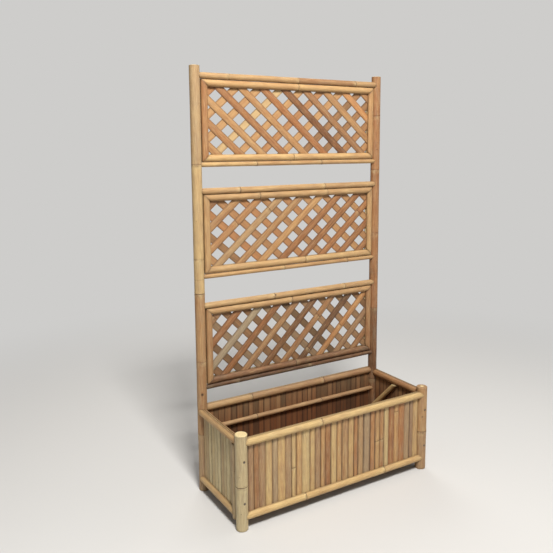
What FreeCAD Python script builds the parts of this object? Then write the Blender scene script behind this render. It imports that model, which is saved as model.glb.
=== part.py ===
"""Bamboo planter box with a three-panel trellis, piece by piece.

Four round culms are the corner posts of a raised box of upright splits.  The
two rear posts run on past the box and carry three lattice panels.  Each panel
is a sandwich: two crossed layers of flat splits between mitred frames of half
culms, with a round pole above it and a thinner one below it, and the poles
are coped (hollowed at their ends) to sit against the round posts.

Frame: millimetres, +Z up, +X to the right seen from the front, +Y to the
rear.  The origin is on the ground in the middle of the footprint.
"""
import FreeCAD
import Part
import math
import os

V = FreeCAD.Vector
X_AXIS = V(1, 0, 0)
Y_AXIS = V(0, 1, 0)
Z_AXIS = V(0, 0, 1)

# ---- overall size
WIDTH = 1008.0
DEPTH = 409.0
HEIGHT = 1850.0

# ---- posts
FRONT_POST_D = 50.0
REAR_POST_D = 44.0
FRONT_POST_H = 403.0
POST_END_ROUND = 4.0
REAR_BORE_D = 26.0
REAR_BORE_DEPTH = 24.0
FRONT_POST_JOINTS = (184.0,)
REAR_POST_JOINTS = (215.0, 435.0, 660.0, 896.0, 1140.0, 1395.0, 1640.0)

# ---- ridge at each joint (node) of a culm
RIDGE = 1.1
RIDGE_RUN = 6.0

# ---- clearance between pieces that sit against each other
SEAT = 0.3

# ---- how far a cutting tool reaches past the work
CUT_SPARE = 1.0

# ---- box walls: slats between an outer and an inner half culm
RAIL_D = 33.0
SAW_KERF = 1.5
WALL_INSET = 1.0
WALL_SLAT_T = 6.0
TOP_RAIL_DROP = 36.0      # the top rails' middle lies this far below the front posts' tops
REAR_RAIL_RISE = 12.0     # the rear wall's top rail lies above the side walls' rails
BOTTOM_RAIL_Z = 57.0
SLAT_END_COVER = 4.0
SLAT_GAP = 1.5
SLAT_POST_GAP = 2.0
SLAT_WIDTHS = (26.0, 22.0, 27.0, 31.0, 24.0, 34.0, 27.0, 21.0, 29.0, 36.0, 25.0)
SLAT_EDGE_T = 2.6
TONGUE_STOP = 7.0         # a coped end stops this far short of the post's axis
LONG_RAIL_JOINTS = (-235.0, 160.0)
LONG_FOOT_JOINTS = (-150.0, 250.0)
SIDE_RAIL_JOINTS = (-95.0,)
SIDE_FOOT_JOINTS = (60.0,)

# ---- poles inside and at the ends of the box
CORNER_POLE_D = 30.0
CORNER_POLE_FOOT_Z = 30.0
CORNER_POLE_JOINTS = (205.0,)
MID_RAIL_D = 20.0
MID_RAIL_Z = 285.0
MID_RAIL_JOINTS = (-214.0, 148.0)
BRACE_D = 24.0
BRACE_FOOT_Z = 192.0
BRACE_TILT = 45.0

# ---- floor of the box
FLOOR_SLAT_W = 40.0
FLOOR_SLAT_T = 7.0
FLOOR_GAP = 9.0
FLOOR_SIDE_GAP = 14.0

# ---- screws through the front posts into the corner poles
SCREW_D = 5.0
SCREW_HEAD_D = 10.0
SCREW_HEAD_T = 3.2
SCREW_SINK = 1.2
SCREW_BITE = 20.0
SCREW_Z = (119.0, 294.0)

# ---- trellis
POLE_D = 27.0
LOWER_POLE_D = 21.0
POLE_FORWARD = 7.0
PANEL_SIDE_GAP = 1.6
PANEL_H = 341.0
FRAME_D = 31.0
LATTICE_T = 5.0
LATTICE_W = 28.0
LATTICE_EDGE_T = 2.4
LATTICE_PITCH = 72.4
LATTICE_INSET = 5.0
LATTICE_MIN_RUN = 45.0

# the upper panel hangs from the posts' tops, the lower one stands above the
# box, and the middle one takes this share of the height left free, from below
UPPER_PANEL_DROP = 224.0
LOWER_PANEL_RISE = 277.0
MIDDLE_PANEL_SHARE = 0.542

# how the front slats climb, in degrees: to the right above 0, to the left below
LATTICE_TILT = {"upper": -41.0, "middle": 41.0, "lower": 45.0}
# one slat's place: x, and z above the panel's middle
LATTICE_STARTS = {"upper": (0.0, 8.0), "middle": (-4.0, 6.0), "lower": (-18.0, 4.0)}

# joints along the trellis culms, measured from the middle of each
POLE_JOINTS = {
    "upper": ((-330.0, 20.0, 360.0), (-200.0, 190.0)),
    "middle": ((-285.0, 165.0), (-60.0, 300.0)),
    "lower": ((-116.0, 285.0), (-300.0, 90.0)),
}
FRAME_JOINTS = {
    "upper": ((18.0,), (-2.0,)),
    "middle": ((-185.0, 180.0), (60.0,)),
    "lower": ((-20.0,), (5.0,)),
}

# ---- places worked out from the sizes above
POST_X = WIDTH / 2 - FRONT_POST_D / 2
FRONT_Y = -DEPTH / 2 + FRONT_POST_D / 2
REAR_Y = DEPTH / 2 - REAR_POST_D / 2
SIDE_RAIL_Z = FRONT_POST_H - TOP_RAIL_DROP
REAR_RAIL_Z = SIDE_RAIL_Z + REAR_RAIL_RISE
FRONT_R = FRONT_POST_D / 2
REAR_R = REAR_POST_D / 2
RAIL_BULGE = RAIL_D / 2 - SAW_KERF
RAIL_HALF_H = math.sqrt((RAIL_D / 2) ** 2 - SAW_KERF ** 2)
FRAME_FACE = 2 * math.sqrt((FRAME_D / 2) ** 2 - SAW_KERF ** 2)
PANEL_STACK = PANEL_H + POLE_D + LOWER_POLE_D + 2 * SEAT
WALL_IN = WALL_INSET + RAIL_BULGE + WALL_SLAT_T / 2
FRONT_WALL_Y = -DEPTH / 2 + WALL_IN
REAR_WALL_Y = DEPTH / 2 - WALL_IN
SIDE_WALL_X = WIDTH / 2 - WALL_IN
SIDE_MID_Y = (FRONT_Y + REAR_Y) / 2
SIDE_HALF = (REAR_Y - FRONT_Y) / 2


# ---------------------------------------------------------------- basic forms
def culm(length, diameter, joints=(), end_round=0.0):
    """A round culm standing on the origin, with a low ridge at each joint."""
    r = diameter / 2
    outline = [V(0, 0, 0), V(r - end_round, 0, 0)]
    if end_round:
        outline.append(V(r, 0, end_round))
    for z in sorted(joints):
        if RIDGE_RUN < z < length - RIDGE_RUN:
            outline += [V(r, 0, z - RIDGE_RUN), V(r + RIDGE, 0, z), V(r, 0, z + RIDGE_RUN / 2)]
    if end_round:
        outline.append(V(r, 0, length - end_round))
    outline += [V(r - end_round, 0, length), V(0, 0, length), V(0, 0, 0)]
    face = Part.Face(Part.makePolygon(outline))
    return face.revolve(V(0, 0, 0), Z_AXIS, 360)


def lying_culm(length, diameter, joints=()):
    """A culm along X, centred on the origin; joints are measured from its middle."""
    body = culm(length, diameter, [length / 2 + x for x in joints])
    body.rotate(V(0, 0, 0), Y_AXIS, 90)
    body.translate(V(-length / 2, 0, 0))
    return body


def half_culm(length, diameter, joints=()):
    """A culm along X sawn lengthways: flat back on the plane y = 0, round to -Y."""
    body = lying_culm(length, diameter, joints)
    body.translate(V(0, SAW_KERF, 0))
    reach = diameter / 2 + RIDGE + CUT_SPARE
    keep = Part.makeBox(length + 2 * CUT_SPARE, reach, 2 * reach, V(-length / 2 - CUT_SPARE, -reach, -reach))
    return body.common(keep)


def strip(length, width, thick, edge):
    """A split along Z on the plane y = 0: flat back, crowned outer skin to -Y."""
    half = width / 2
    crown = Part.Arc(V(-half, -edge, 0), V(0, -thick, 0), V(half, -edge, 0)).toShape()
    right = Part.makeLine(V(half, -edge, 0), V(half, 0, 0))
    back = Part.makeLine(V(half, 0, 0), V(-half, 0, 0))
    left = Part.makeLine(V(-half, 0, 0), V(-half, -edge, 0))
    return Part.Face(Part.Wire([crown, right, back, left])).extrude(V(0, 0, length))


def moved(shape, x=0.0, y=0.0, z=0.0, about=None, angle=0.0):
    """A copy of the shape, turned about an axis through the origin, then moved."""
    out = shape.copy()
    if about is not None:
        out.rotate(V(0, 0, 0), about, angle)
    out.translate(V(x, y, z))
    return out


def cut_by(shape, cutters):
    """The shape less the cutters that it reaches."""
    for cutter in cutters:
        if shape.BoundBox.intersect(cutter.BoundBox):
            shape = shape.cut(cutter)
    return shape


def biggest(shape):
    """The largest solid of a shape, where a cut leaves an offcut."""
    return max(shape.Solids, key=lambda s: s.Volume)


# ---------------------------------------------------------------------- posts
def post_places():
    """Name, x, y, radius of the four posts."""
    return (
        ("front_left_post", -POST_X, FRONT_Y, FRONT_R),
        ("front_right_post", POST_X, FRONT_Y, FRONT_R),
        ("rear_left_post", -POST_X, REAR_Y, REAR_R),
        ("rear_right_post", POST_X, REAR_Y, REAR_R),
    )


def post_cutters():
    """The posts' space with the seating clearance, which every end is coped to."""
    tall = HEIGHT + 2 * CUT_SPARE
    return [Part.makeCylinder(r + SEAT, tall, V(x, y, -CUT_SPARE)) for _, x, y, r in post_places()]


def screw_holes(x):
    """Clearance holes and countersinks of one front post's screws."""
    holes = []
    face_y = -DEPTH / 2
    for z in SCREW_Z:
        holes.append(Part.makeCylinder(SCREW_D / 2, FRONT_POST_D, V(x, face_y, z), Y_AXIS))
        depth = SCREW_SINK + SCREW_HEAD_T
        holes.append(Part.makeCylinder(SCREW_HEAD_D / 2, depth, V(x, face_y, z), Y_AXIS))
    return holes


def posts():
    """Short front posts drilled for their screws, tall rear ones open at the top."""
    out = {}
    for name, x, y, r in post_places():
        if name.startswith("front"):
            body = culm(FRONT_POST_H, 2 * r, FRONT_POST_JOINTS, POST_END_ROUND)
            body.translate(V(x, y, 0))
            body = cut_by(body, screw_holes(x))
        else:
            body = culm(HEIGHT, 2 * r, REAR_POST_JOINTS, POST_END_ROUND / 2)
            depth = REAR_BORE_DEPTH + CUT_SPARE
            bore = Part.makeCylinder(REAR_BORE_D / 2, depth, V(0, 0, HEIGHT - REAR_BORE_DEPTH))
            body = body.cut(bore)
            body.translate(V(x, y, 0))
        out[name] = body
    return out


# ------------------------------------------------------------------ box walls
def wall_places():
    """Name, turn about Z, middle of the slat plane, half span, top rail height."""
    return (
        ("front", 0, V(0, FRONT_WALL_Y, 0), POST_X, SIDE_RAIL_Z),
        ("right", 90, V(SIDE_WALL_X, SIDE_MID_Y, 0), SIDE_HALF, SIDE_RAIL_Z),
        ("rear", 180, V(0, REAR_WALL_Y, 0), POST_X, REAR_RAIL_Z),
        ("left", -90, V(-SIDE_WALL_X, SIDE_MID_Y, 0), SIDE_HALF, SIDE_RAIL_Z),
    )


def set_in_wall(shape, turn, middle):
    """Carry a piece from the wall's own frame (x along it, -y outwards) to its place."""
    return moved(shape, middle.x, middle.y, middle.z, Z_AXIS, turn)


def wall_rails(name, turn, middle, half_span, top_z, cutters):
    """Outer and inner half culms at the top and the bottom of one wall."""
    out = {}
    length = 2 * (half_span - TONGUE_STOP)
    side = name in ("left", "right")
    top_joints = SIDE_RAIL_JOINTS if side else LONG_RAIL_JOINTS
    foot_joints = SIDE_FOOT_JOINTS if side else LONG_FOOT_JOINTS
    for level, z, joints in (("top", top_z, top_joints), ("bottom", BOTTOM_RAIL_Z, foot_joints)):
        outer = half_culm(length, RAIL_D, joints)
        outer.translate(V(0, -WALL_SLAT_T / 2, z))
        # the bottom inner half is shaved smooth, because the floor lies on it
        inner = half_culm(length, RAIL_D, joints if level == "top" else ())
        inner = moved(inner, about=Z_AXIS, angle=180)
        inner.translate(V(0, WALL_SLAT_T / 2, z))
        for layer, bar in (("outer", outer), ("inner", inner)):
            bar = cut_by(set_in_wall(bar, turn, middle), cutters)
            out["%s_%s_rail_%s_half" % (name, level, layer)] = biggest(bar)
    return out


def slat_row(start, end, low, high):
    """Upright splits of mixed widths that fill a run of wall, on the slat plane."""
    run = end - start
    mean = sum(SLAT_WIDTHS) / len(SLAT_WIDTHS)
    count = max(1, round(run / (mean + SLAT_GAP)))
    widths = [SLAT_WIDTHS[i % len(SLAT_WIDTHS)] for i in range(count)]
    fit = (run - SLAT_GAP * (count - 1)) / sum(widths)
    slats = []
    x = start
    for width in widths:
        wide = width * fit
        slat = strip(high - low, wide, WALL_SLAT_T, SLAT_EDGE_T)
        slat.translate(V(x + wide / 2, WALL_SLAT_T / 2, low))
        slats.append(slat)
        x += wide + SLAT_GAP
    return slats


def slat_span(name):
    """Where one wall's slats start and end along it, clear of posts and poles."""
    if name == "front":
        reach = math.sqrt(FRONT_R ** 2 - (FRONT_Y - FRONT_WALL_Y) ** 2)
        return -POST_X + reach + SLAT_POST_GAP, POST_X - reach - SLAT_POST_GAP
    reach = math.sqrt(REAR_R ** 2 - (REAR_WALL_Y - REAR_Y) ** 2)
    if name == "rear":
        return -POST_X + reach + SLAT_POST_GAP, POST_X - reach - SLAT_POST_GAP
    rear_reach = math.sqrt(REAR_R ** 2 - (SIDE_WALL_X - POST_X) ** 2)
    start = corner_pole_y() + CORNER_POLE_D / 2 + SLAT_POST_GAP - SIDE_MID_Y
    end = REAR_Y - rear_reach - SLAT_POST_GAP - SIDE_MID_Y
    return (start, end) if name == "right" else (-end, -start)


def wall_slats(name, turn, middle, top_z):
    """All the slats of one wall, seated between the halves of its rails."""
    start, end = slat_span(name)
    low = BOTTOM_RAIL_Z - RAIL_HALF_H + SLAT_END_COVER
    high = top_z + RAIL_HALF_H - SLAT_END_COVER
    return [set_in_wall(slat, turn, middle) for slat in slat_row(start, end, low, high)]


# -------------------------------------------------- poles that stiffen the box
def corner_pole_y():
    """Where a corner pole stands, touching the rear of its front post."""
    apart = FRONT_R + CORNER_POLE_D / 2 + SEAT
    return FRONT_Y + math.sqrt(apart ** 2 - (SIDE_WALL_X - POST_X) ** 2)


def corner_pole_spaces():
    """The corner poles' space, which the side walls' bottom rails are coped to."""
    spaces = []
    height = BOTTOM_RAIL_Z + RAIL_D
    width = 2 * (RAIL_BULGE + WALL_SLAT_T + RIDGE + CUT_SPARE)
    for x in (-SIDE_WALL_X, SIDE_WALL_X):
        # everything from the front post to the pole's own axis, then the pole
        depth = corner_pole_y() - FRONT_Y
        spaces.append(Part.makeBox(width, depth, height, V(x - width / 2, FRONT_Y, 0)))
        reach = CORNER_POLE_D / 2 + SEAT
        spaces.append(Part.makeCylinder(reach, height, V(x, corner_pole_y(), 0)))
    return spaces


def corner_poles(front_posts):
    """Upright poles behind the front posts, which close the side walls' front ends."""
    out = {}
    top = SIDE_RAIL_Z - RAIL_HALF_H - SEAT
    for side, sign in (("left", -1), ("right", 1)):
        pole = culm(top - CORNER_POLE_FOOT_Z, CORNER_POLE_D, CORNER_POLE_JOINTS)
        pole.translate(V(sign * SIDE_WALL_X, corner_pole_y(), CORNER_POLE_FOOT_Z))
        pole = cut_by(pole, front_posts)
        for z in SCREW_Z:
            hole = Part.makeCylinder(SCREW_D / 2, screw_length(), V(sign * POST_X, screw_seat_y(), z), Y_AXIS)
            pole = pole.cut(hole)
        out["%s_corner_pole" % side] = pole
    return out


def mid_rail(cutters):
    """The thin pole across the rear wall's slats, inside the box."""
    slat_face = REAR_WALL_Y - WALL_SLAT_T / 2
    pole = lying_culm(2 * (POST_X - TONGUE_STOP), MID_RAIL_D, MID_RAIL_JOINTS)
    pole.translate(V(0, slat_face - MID_RAIL_D / 2 - SEAT, MID_RAIL_Z))
    # its ridges are shaved flat where they meet the slats
    wall = Part.makeBox(WIDTH, DEPTH, 2 * MID_RAIL_D, V(-WIDTH / 2, slat_face, MID_RAIL_Z - MID_RAIL_D))
    return biggest(cut_by(pole, cutters + [wall]))


def knee_braces(cutters):
    """Slanting poles from the rear posts up to the side walls' top rails."""
    out = {}
    ceiling = SIDE_RAIL_Z - RAIL_HALF_H - SEAT
    rise = math.radians(BRACE_TILT)
    for side, sign in (("left", -1), ("right", 1)):
        x = sign * (SIDE_WALL_X - WALL_SLAT_T / 2 - BRACE_D / 2 - SEAT)
        length = 2 * SIDE_HALF
        pole = culm(length, BRACE_D)
        pole.translate(V(0, 0, -BRACE_D))
        # lean forwards: the axis climbs from the rear post towards the front
        pole.rotate(V(0, 0, 0), X_AXIS, math.degrees(math.pi / 2 - rise))
        pole.translate(V(x, REAR_Y - REAR_R, BRACE_FOOT_Z))
        room = Part.makeBox(4 * BRACE_D, REAR_Y - FRONT_Y, ceiling, V(x - 2 * BRACE_D, FRONT_Y, 0))
        out["%s_knee_brace" % side] = biggest(cut_by(pole.common(room), cutters))
    return out


# ---------------------------------------------------------------------- floor
def floor_slats():
    """Splits laid front to rear across the inner halves of the bottom rails."""
    inner_x = SIDE_WALL_X - WALL_SLAT_T / 2 - RAIL_BULGE - FLOOR_SIDE_GAP
    length = (REAR_WALL_Y - FRONT_WALL_Y) - WALL_SLAT_T - 2 * SEAT
    rest_z = BOTTOM_RAIL_Z + RAIL_HALF_H + SEAT
    count = int((2 * inner_x + FLOOR_GAP) // (FLOOR_SLAT_W + FLOOR_GAP))
    pitch = (2 * inner_x - FLOOR_SLAT_W) / (count - 1)
    slats = []
    for i in range(count):
        slat = strip(length, FLOOR_SLAT_W, FLOOR_SLAT_T, SLAT_EDGE_T)
        # lay it down along Y with its crown up
        slat.rotate(V(0, 0, 0), X_AXIS, -90)
        x = -inner_x + FLOOR_SLAT_W / 2 + i * pitch
        slat.translate(V(x, (REAR_WALL_Y + FRONT_WALL_Y - length) / 2, rest_z))
        slats.append(slat)
    return slats


# --------------------------------------------------------------------- screws
def screw_seat_y():
    """Where the head's outer face lies, just under the post's skin."""
    return -DEPTH / 2 + SCREW_SINK


def screw_length():
    """From the head's face through the post and into the corner pole."""
    return corner_pole_y() - CORNER_POLE_D / 2 + SCREW_BITE - screw_seat_y()


def post_screws():
    """Countersunk screws that hold the corner poles to the front posts."""
    screws = []
    for x in (-POST_X, POST_X):
        for z in SCREW_Z:
            seat = V(x, screw_seat_y(), z)
            shank = Part.makeCylinder(SCREW_D / 2, screw_length(), seat, Y_AXIS)
            head = Part.makeCylinder(SCREW_HEAD_D / 2, SCREW_HEAD_T, seat, Y_AXIS)
            screws.append(shank.fuse(head).removeSplitter())
    return screws


# -------------------------------------------------------------------- trellis
def panel_places():
    """Name and height of the middle of each panel."""
    top = HEIGHT - UPPER_PANEL_DROP
    foot = REAR_RAIL_Z + LOWER_PANEL_RISE
    free = top - foot - 2 * PANEL_STACK
    middle = foot + PANEL_STACK + MIDDLE_PANEL_SHARE * free
    return (("upper", top), ("middle", middle), ("lower", foot))


def frame_width():
    """Outer width of a panel between the rear posts."""
    return 2 * (POST_X - REAR_R - PANEL_SIDE_GAP)


def mitred(length, joints=()):
    """A half culm for a frame: long edge at +Z, both ends mitred at 45 degrees."""
    outer = length / 2
    inner = outer - FRAME_FACE
    edge = FRAME_FACE / 2
    corners = [
        V(-outer, -FRAME_D, edge),
        V(outer, -FRAME_D, edge),
        V(inner, -FRAME_D, -edge),
        V(-inner, -FRAME_D, -edge),
    ]
    outline = Part.makePolygon(corners + corners[:1])
    trim = Part.Face(outline).extrude(V(0, 2 * FRAME_D, 0))
    return half_culm(length, FRAME_D, joints).common(trim)


def frame_members(name):
    """The four half culms of one side of a frame, in the panel's plane."""
    up = (PANEL_H - FRAME_FACE) / 2
    out = (frame_width() - FRAME_FACE) / 2
    top_joints, bottom_joints = FRAME_JOINTS[name]
    bottom = mitred(frame_width(), [-x for x in bottom_joints])
    return {
        "top_rail": moved(mitred(frame_width(), top_joints), z=up),
        "bottom_rail": moved(bottom, z=-up, about=Y_AXIS, angle=180),
        "left_stile": moved(mitred(PANEL_H), x=-out, about=Y_AXIS, angle=-90),
        "right_stile": moved(mitred(PANEL_H), x=out, about=Y_AXIS, angle=90),
    }


def lattice_layer(angle, start):
    """Parallel slats at one slope, trimmed to end inside the frame's sandwich."""
    half_w = frame_width() / 2 - LATTICE_INSET
    half_h = PANEL_H / 2 - LATTICE_INSET
    room = Part.makeBox(2 * half_w, 2 * LATTICE_T, 2 * half_h, V(-half_w, -LATTICE_T, -half_h))
    step = LATTICE_PITCH / math.sin(math.radians(abs(angle)))
    shortest = LATTICE_MIN_RUN * LATTICE_W * LATTICE_EDGE_T
    reach = int(2 * (half_w + half_h) / step)
    length = 2 * (half_w + half_h)
    slats = []
    for i in range(-reach, reach + 1):
        slat = strip(length, LATTICE_W, LATTICE_T, LATTICE_EDGE_T)
        slat.translate(V(0, 0, -length / 2))
        slat.rotate(V(0, 0, 0), Y_AXIS, math.copysign(90, angle) - angle)
        slat.translate(V(start[0] + i * step, 0, start[1]))
        for piece in slat.common(room).Solids:
            if piece.Volume > shortest:
                slats.append(piece)
    return slats


def panel(name, middle_z):
    """One trellis panel: two crossed lattice layers between two mitred frames."""
    out = {}
    place = V(0, REAR_Y, middle_z)
    members = frame_members(name)
    for part, bar in members.items():
        front = bar.copy()
        front.translate(place + V(0, -LATTICE_T, 0))
        out["%s_panel_front_%s" % (name, part)] = front
    back = []
    for bar in members.values():
        rear = moved(bar, about=Z_AXIS, angle=180)
        rear.translate(place + V(0, LATTICE_T, 0))
        back.append(rear)
    out["%s_panel_back_frame" % name] = back
    # the front layer's skin faces forwards, the back layer's rearwards
    angle = LATTICE_TILT[name]
    x, z = LATTICE_STARTS[name]
    front_slats = lattice_layer(angle, (x, z))
    back_slats = [moved(s, about=Z_AXIS, angle=180) for s in lattice_layer(angle, (-x, z))]
    out["%s_panel_front_lattice" % name] = [moved(s, y=place.y, z=place.z) for s in front_slats]
    out["%s_panel_back_lattice" % name] = [moved(s, y=place.y, z=place.z) for s in back_slats]
    return out


def trellis_poles(cutters):
    """The round poles above and below each panel, coped to the rear posts."""
    out = {}
    length = 2 * (POST_X - TONGUE_STOP)
    for name, middle_z in panel_places():
        above, below = POLE_JOINTS[name]
        edge = PANEL_H / 2 + SEAT
        for place, diameter, joints, z in (
            ("upper", POLE_D, above, middle_z + edge + POLE_D / 2),
            ("lower", LOWER_POLE_D, below, middle_z - edge - LOWER_POLE_D / 2),
        ):
            pole = lying_culm(length, diameter, joints)
            pole.translate(V(0, REAR_Y - POLE_FORWARD, z))
            # its ridges are shaved flat where they meet the panel
            panel_room = Part.makeBox(WIDTH, DEPTH, PANEL_H, V(-WIDTH / 2, 0, middle_z - PANEL_H / 2))
            pole = cut_by(pole, cutters + [panel_room])
            out["%s_panel_%s_pole" % (name, place)] = biggest(pole)
    return out


# ------------------------------------------------------------------- assembly
def build():
    """Every node of the planter by name: one solid, or a list of like solids."""
    cutters = post_cutters()
    nodes = posts()
    for name, turn, middle, half_span, top_z in wall_places():
        stops = cutters + corner_pole_spaces() if name in ("left", "right") else cutters
        nodes.update(wall_rails(name, turn, middle, half_span, top_z, stops))
        nodes["%s_wall_slats" % name] = wall_slats(name, turn, middle, top_z)
    nodes.update(corner_poles([nodes["front_left_post"], nodes["front_right_post"]]))
    nodes["rear_mid_rail"] = mid_rail(cutters)
    nodes.update(knee_braces(cutters))
    nodes["floor_slats"] = floor_slats()
    nodes["post_screws"] = post_screws()
    nodes.update(trellis_poles(cutters))
    for name, middle_z in panel_places():
        nodes.update(panel(name, middle_z))
    return nodes


def export(nodes):
    """One STEP file for each node."""
    os.makedirs("parts", exist_ok=True)
    for name, piece in sorted(nodes.items()):
        shape = Part.makeCompound(piece) if isinstance(piece, list) else piece
        shape.exportStep("parts/%s.step" % name)
        print("%-38s solids %3d  volume %9.0f mm3" % (name, len(shape.Solids), shape.Volume))


export(build())
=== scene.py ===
"""Looks for the bamboo planter box with its three-panel trellis.

Every culm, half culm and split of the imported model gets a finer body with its
joints, skin and sawn faces.  Lengths inside the helpers are millimetres, as in
the part's source, and become metres when a mesh is made.
"""
import math
import random

import bpy
import numpy as np
from bpy.props import FloatProperty, FloatVectorProperty, IntProperty, PointerProperty
from mathutils import Matrix, Vector


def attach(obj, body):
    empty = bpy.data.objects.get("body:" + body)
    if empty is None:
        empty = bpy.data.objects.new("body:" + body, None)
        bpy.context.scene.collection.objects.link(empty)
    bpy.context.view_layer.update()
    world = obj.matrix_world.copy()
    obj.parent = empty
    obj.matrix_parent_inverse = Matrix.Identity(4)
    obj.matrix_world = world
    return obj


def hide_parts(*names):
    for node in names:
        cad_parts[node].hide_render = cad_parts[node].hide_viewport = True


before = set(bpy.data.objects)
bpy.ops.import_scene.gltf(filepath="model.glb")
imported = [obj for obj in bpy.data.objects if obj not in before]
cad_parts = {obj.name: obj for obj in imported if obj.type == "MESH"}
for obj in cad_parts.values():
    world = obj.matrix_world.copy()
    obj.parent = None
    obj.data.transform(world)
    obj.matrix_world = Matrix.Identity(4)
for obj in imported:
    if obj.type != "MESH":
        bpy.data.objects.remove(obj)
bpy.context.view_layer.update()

bl_info = {
    "name": "Bamboo planter with trellis",
    "version": (1, 0, 0),
    "blender": (4, 5, 0),
    "location": "View3D > Sidebar > Planter",
    "description": "Builds the culms, splits, lattice and finishes of a bamboo planter with a trellis",
    "category": "Object",
}

MM = 0.001

# ---- the part's own sizes, in millimetres
WIDTH = 1008.0
DEPTH = 409.0
HEIGHT = 1850.0
FRONT_R = 25.0
REAR_R = 22.0
FRONT_POST_H = 403.0
BORE_R = 13.0
BORE_DEPTH = 24.0
SEAT = 0.3
RAIL_R = 16.5
SAW_KERF = 1.5
WALL_SLAT_T = 6.0
SLAT_EDGE_T = 2.6
SIDE_RAIL_Z = 367.0
REAR_RAIL_Z = 379.0
BOTTOM_RAIL_Z = 57.0
TONGUE_STOP = 7.0
SLAT_GAP = 1.5
SLAT_POST_GAP = 2.0
SLAT_END_COVER = 4.0
SLAT_WIDTHS = (26.0, 22.0, 27.0, 31.0, 24.0, 34.0, 27.0, 21.0, 29.0, 36.0, 25.0)
CORNER_POLE_R = 15.0
CORNER_POLE_FOOT_Z = 30.0
MID_RAIL_R = 10.0
MID_RAIL_Z = 285.0
BRACE_R = 12.0
BRACE_FOOT_Z = 192.0
FLOOR_SLAT_W = 40.0
FLOOR_SLAT_T = 7.0
FLOOR_GAP = 9.0
FLOOR_SIDE_GAP = 14.0
SCREW_SINK = 1.2
SCREW_Z = (119.0, 294.0)
POLE_R = 13.5
LOWER_POLE_R = 10.5
POLE_FORWARD = 7.0
POLE_SHAVE = 0.2
POLE_STOP = 12.0
PANEL_SIDE_GAP = 1.6
PANEL_H = 341.0
FRAME_R = 15.5
LATTICE_T = 5.0
LATTICE_W = 28.0
LATTICE_EDGE_T = 2.4
LATTICE_PITCH = 72.4
LATTICE_INSET = 5.0
# each panel's middle height, slope in degrees, first split's place, and the way its front climbs
PANELS = {
    "upper": (1626.0, 41.0, (0.0, 8.0), -1),
    "middle": (1149.01, 41.0, (-4.0, 6.0), 1),
    "lower": (656.0, 45.0, (-18.0, 4.0), 1),
}

# ---- places that follow from them
POST_X = WIDTH / 2 - FRONT_R
FRONT_Y = -DEPTH / 2 + FRONT_R
REAR_Y = DEPTH / 2 - REAR_R
RAIL_BULGE = RAIL_R - SAW_KERF
RAIL_HALF_H = math.sqrt(RAIL_R ** 2 - SAW_KERF ** 2)
FRAME_FACE = 2 * math.sqrt(FRAME_R ** 2 - SAW_KERF ** 2)
WALL_IN = 1.0 + RAIL_BULGE + WALL_SLAT_T / 2
FRONT_WALL_Y = -DEPTH / 2 + WALL_IN
REAR_WALL_Y = DEPTH / 2 - WALL_IN
SIDE_WALL_X = WIDTH / 2 - WALL_IN
SIDE_MID_Y = (FRONT_Y + REAR_Y) / 2
SIDE_HALF = (REAR_Y - FRONT_Y) / 2
FRAME_W = 2 * (POST_X - REAR_R - PANEL_SIDE_GAP)
CORNER_POLE_Y = FRONT_Y + math.sqrt((FRONT_R + CORNER_POLE_R + SEAT) ** 2 - (SIDE_WALL_X - POST_X) ** 2)

# ---- how a joint of the culm is formed: offset along it, height, spread
JOINT_FORM = ((-1.2, 0.60, 2.0), (2.4, -1.15, 1.5), (6.0, 0.50, 2.8), (1.5, 0.50, 15.0))
JOINT_CLEAR = 36.0
JOINT_RINGS = (-30, -18, -11, -7, -4.5, -3, -2, -1, 0, 0.8, 1.6, 2.4, 3.2, 4.0, 5.0, 6.2, 8, 11, 18, 30)
# rings of points at an end: how far in, and how much the edge is broken
END_RINGS = ((0.0, 0.7), (1.2, 0.1), (4.0, 0.0), (12.0, 0.0))
PLAIN_STEP = 24.0
# a joint that hardly shows: its height, and how weak its line is and how far round it
FAINT_HEIGHT = 0.45
FAINT_SHARE = 0.72
FAINT_REACH = 20.0
# shares of the section where a sawn end gets its rings, and the round of a post's edge
SAWN_SHARES = (0.92, 0.6, 0.3)
EDGE_ROUND = 4.0
DIMPLE_DEPTH = SCREW_SINK * 1.15
# a split's joint, in metres and as a share of its thickness; inner half rails are painted darker, as the shade inside
# the box
SPLIT_JOINT = 0.0035
SPLIT_RING = 0.10
INNER_SHADE = 0.08
FAR = 1e9


# =============================================================== node helpers
class Wire:
    """One output in a node tree, so that node maths reads as plain maths."""

    def __init__(self, net, socket):
        self.net, self.socket = net, socket

    def __add__(self, other):
        return self.net.calc("ADD", self, other)

    def __sub__(self, other):
        return self.net.calc("SUBTRACT", self, other)

    def __rsub__(self, other):
        return self.net.calc("SUBTRACT", other, self)

    def __mul__(self, other):
        return self.net.calc("MULTIPLY", self, other)

    def __truediv__(self, other):
        return self.net.calc("DIVIDE", self, other)

    def __neg__(self):
        return self * -1.0

    def __abs__(self):
        return self.net.calc("ABSOLUTE", self)

    def __lt__(self, other):
        return self.net.out("FunctionNodeCompare", {0: self, 1: other}, data_type="FLOAT", operation="LESS_THAN")

    def __or__(self, other):
        return self.net.out("FunctionNodeBooleanMath", {0: self, 1: other}, operation="OR")

    def ranged(self, low, high, to_low=0.0, to_high=1.0, smooth=False):
        """The value carried from one range to another and clamped."""
        wires = {0: self, 1: low, 2: high, 3: to_low, 4: to_high}
        return self.net.out("ShaderNodeMapRange", wires, interpolation_type="SMOOTHSTEP" if smooth else "LINEAR")

    def times(self, vector):
        """A vector multiplied by another, value by value."""
        return self.net.vcalc("MULTIPLY", self, vector)

    def parts(self):
        """The three values of a vector."""
        return list(self.net.outs("ShaderNodeSeparateXYZ", {0: self}).values())


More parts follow.
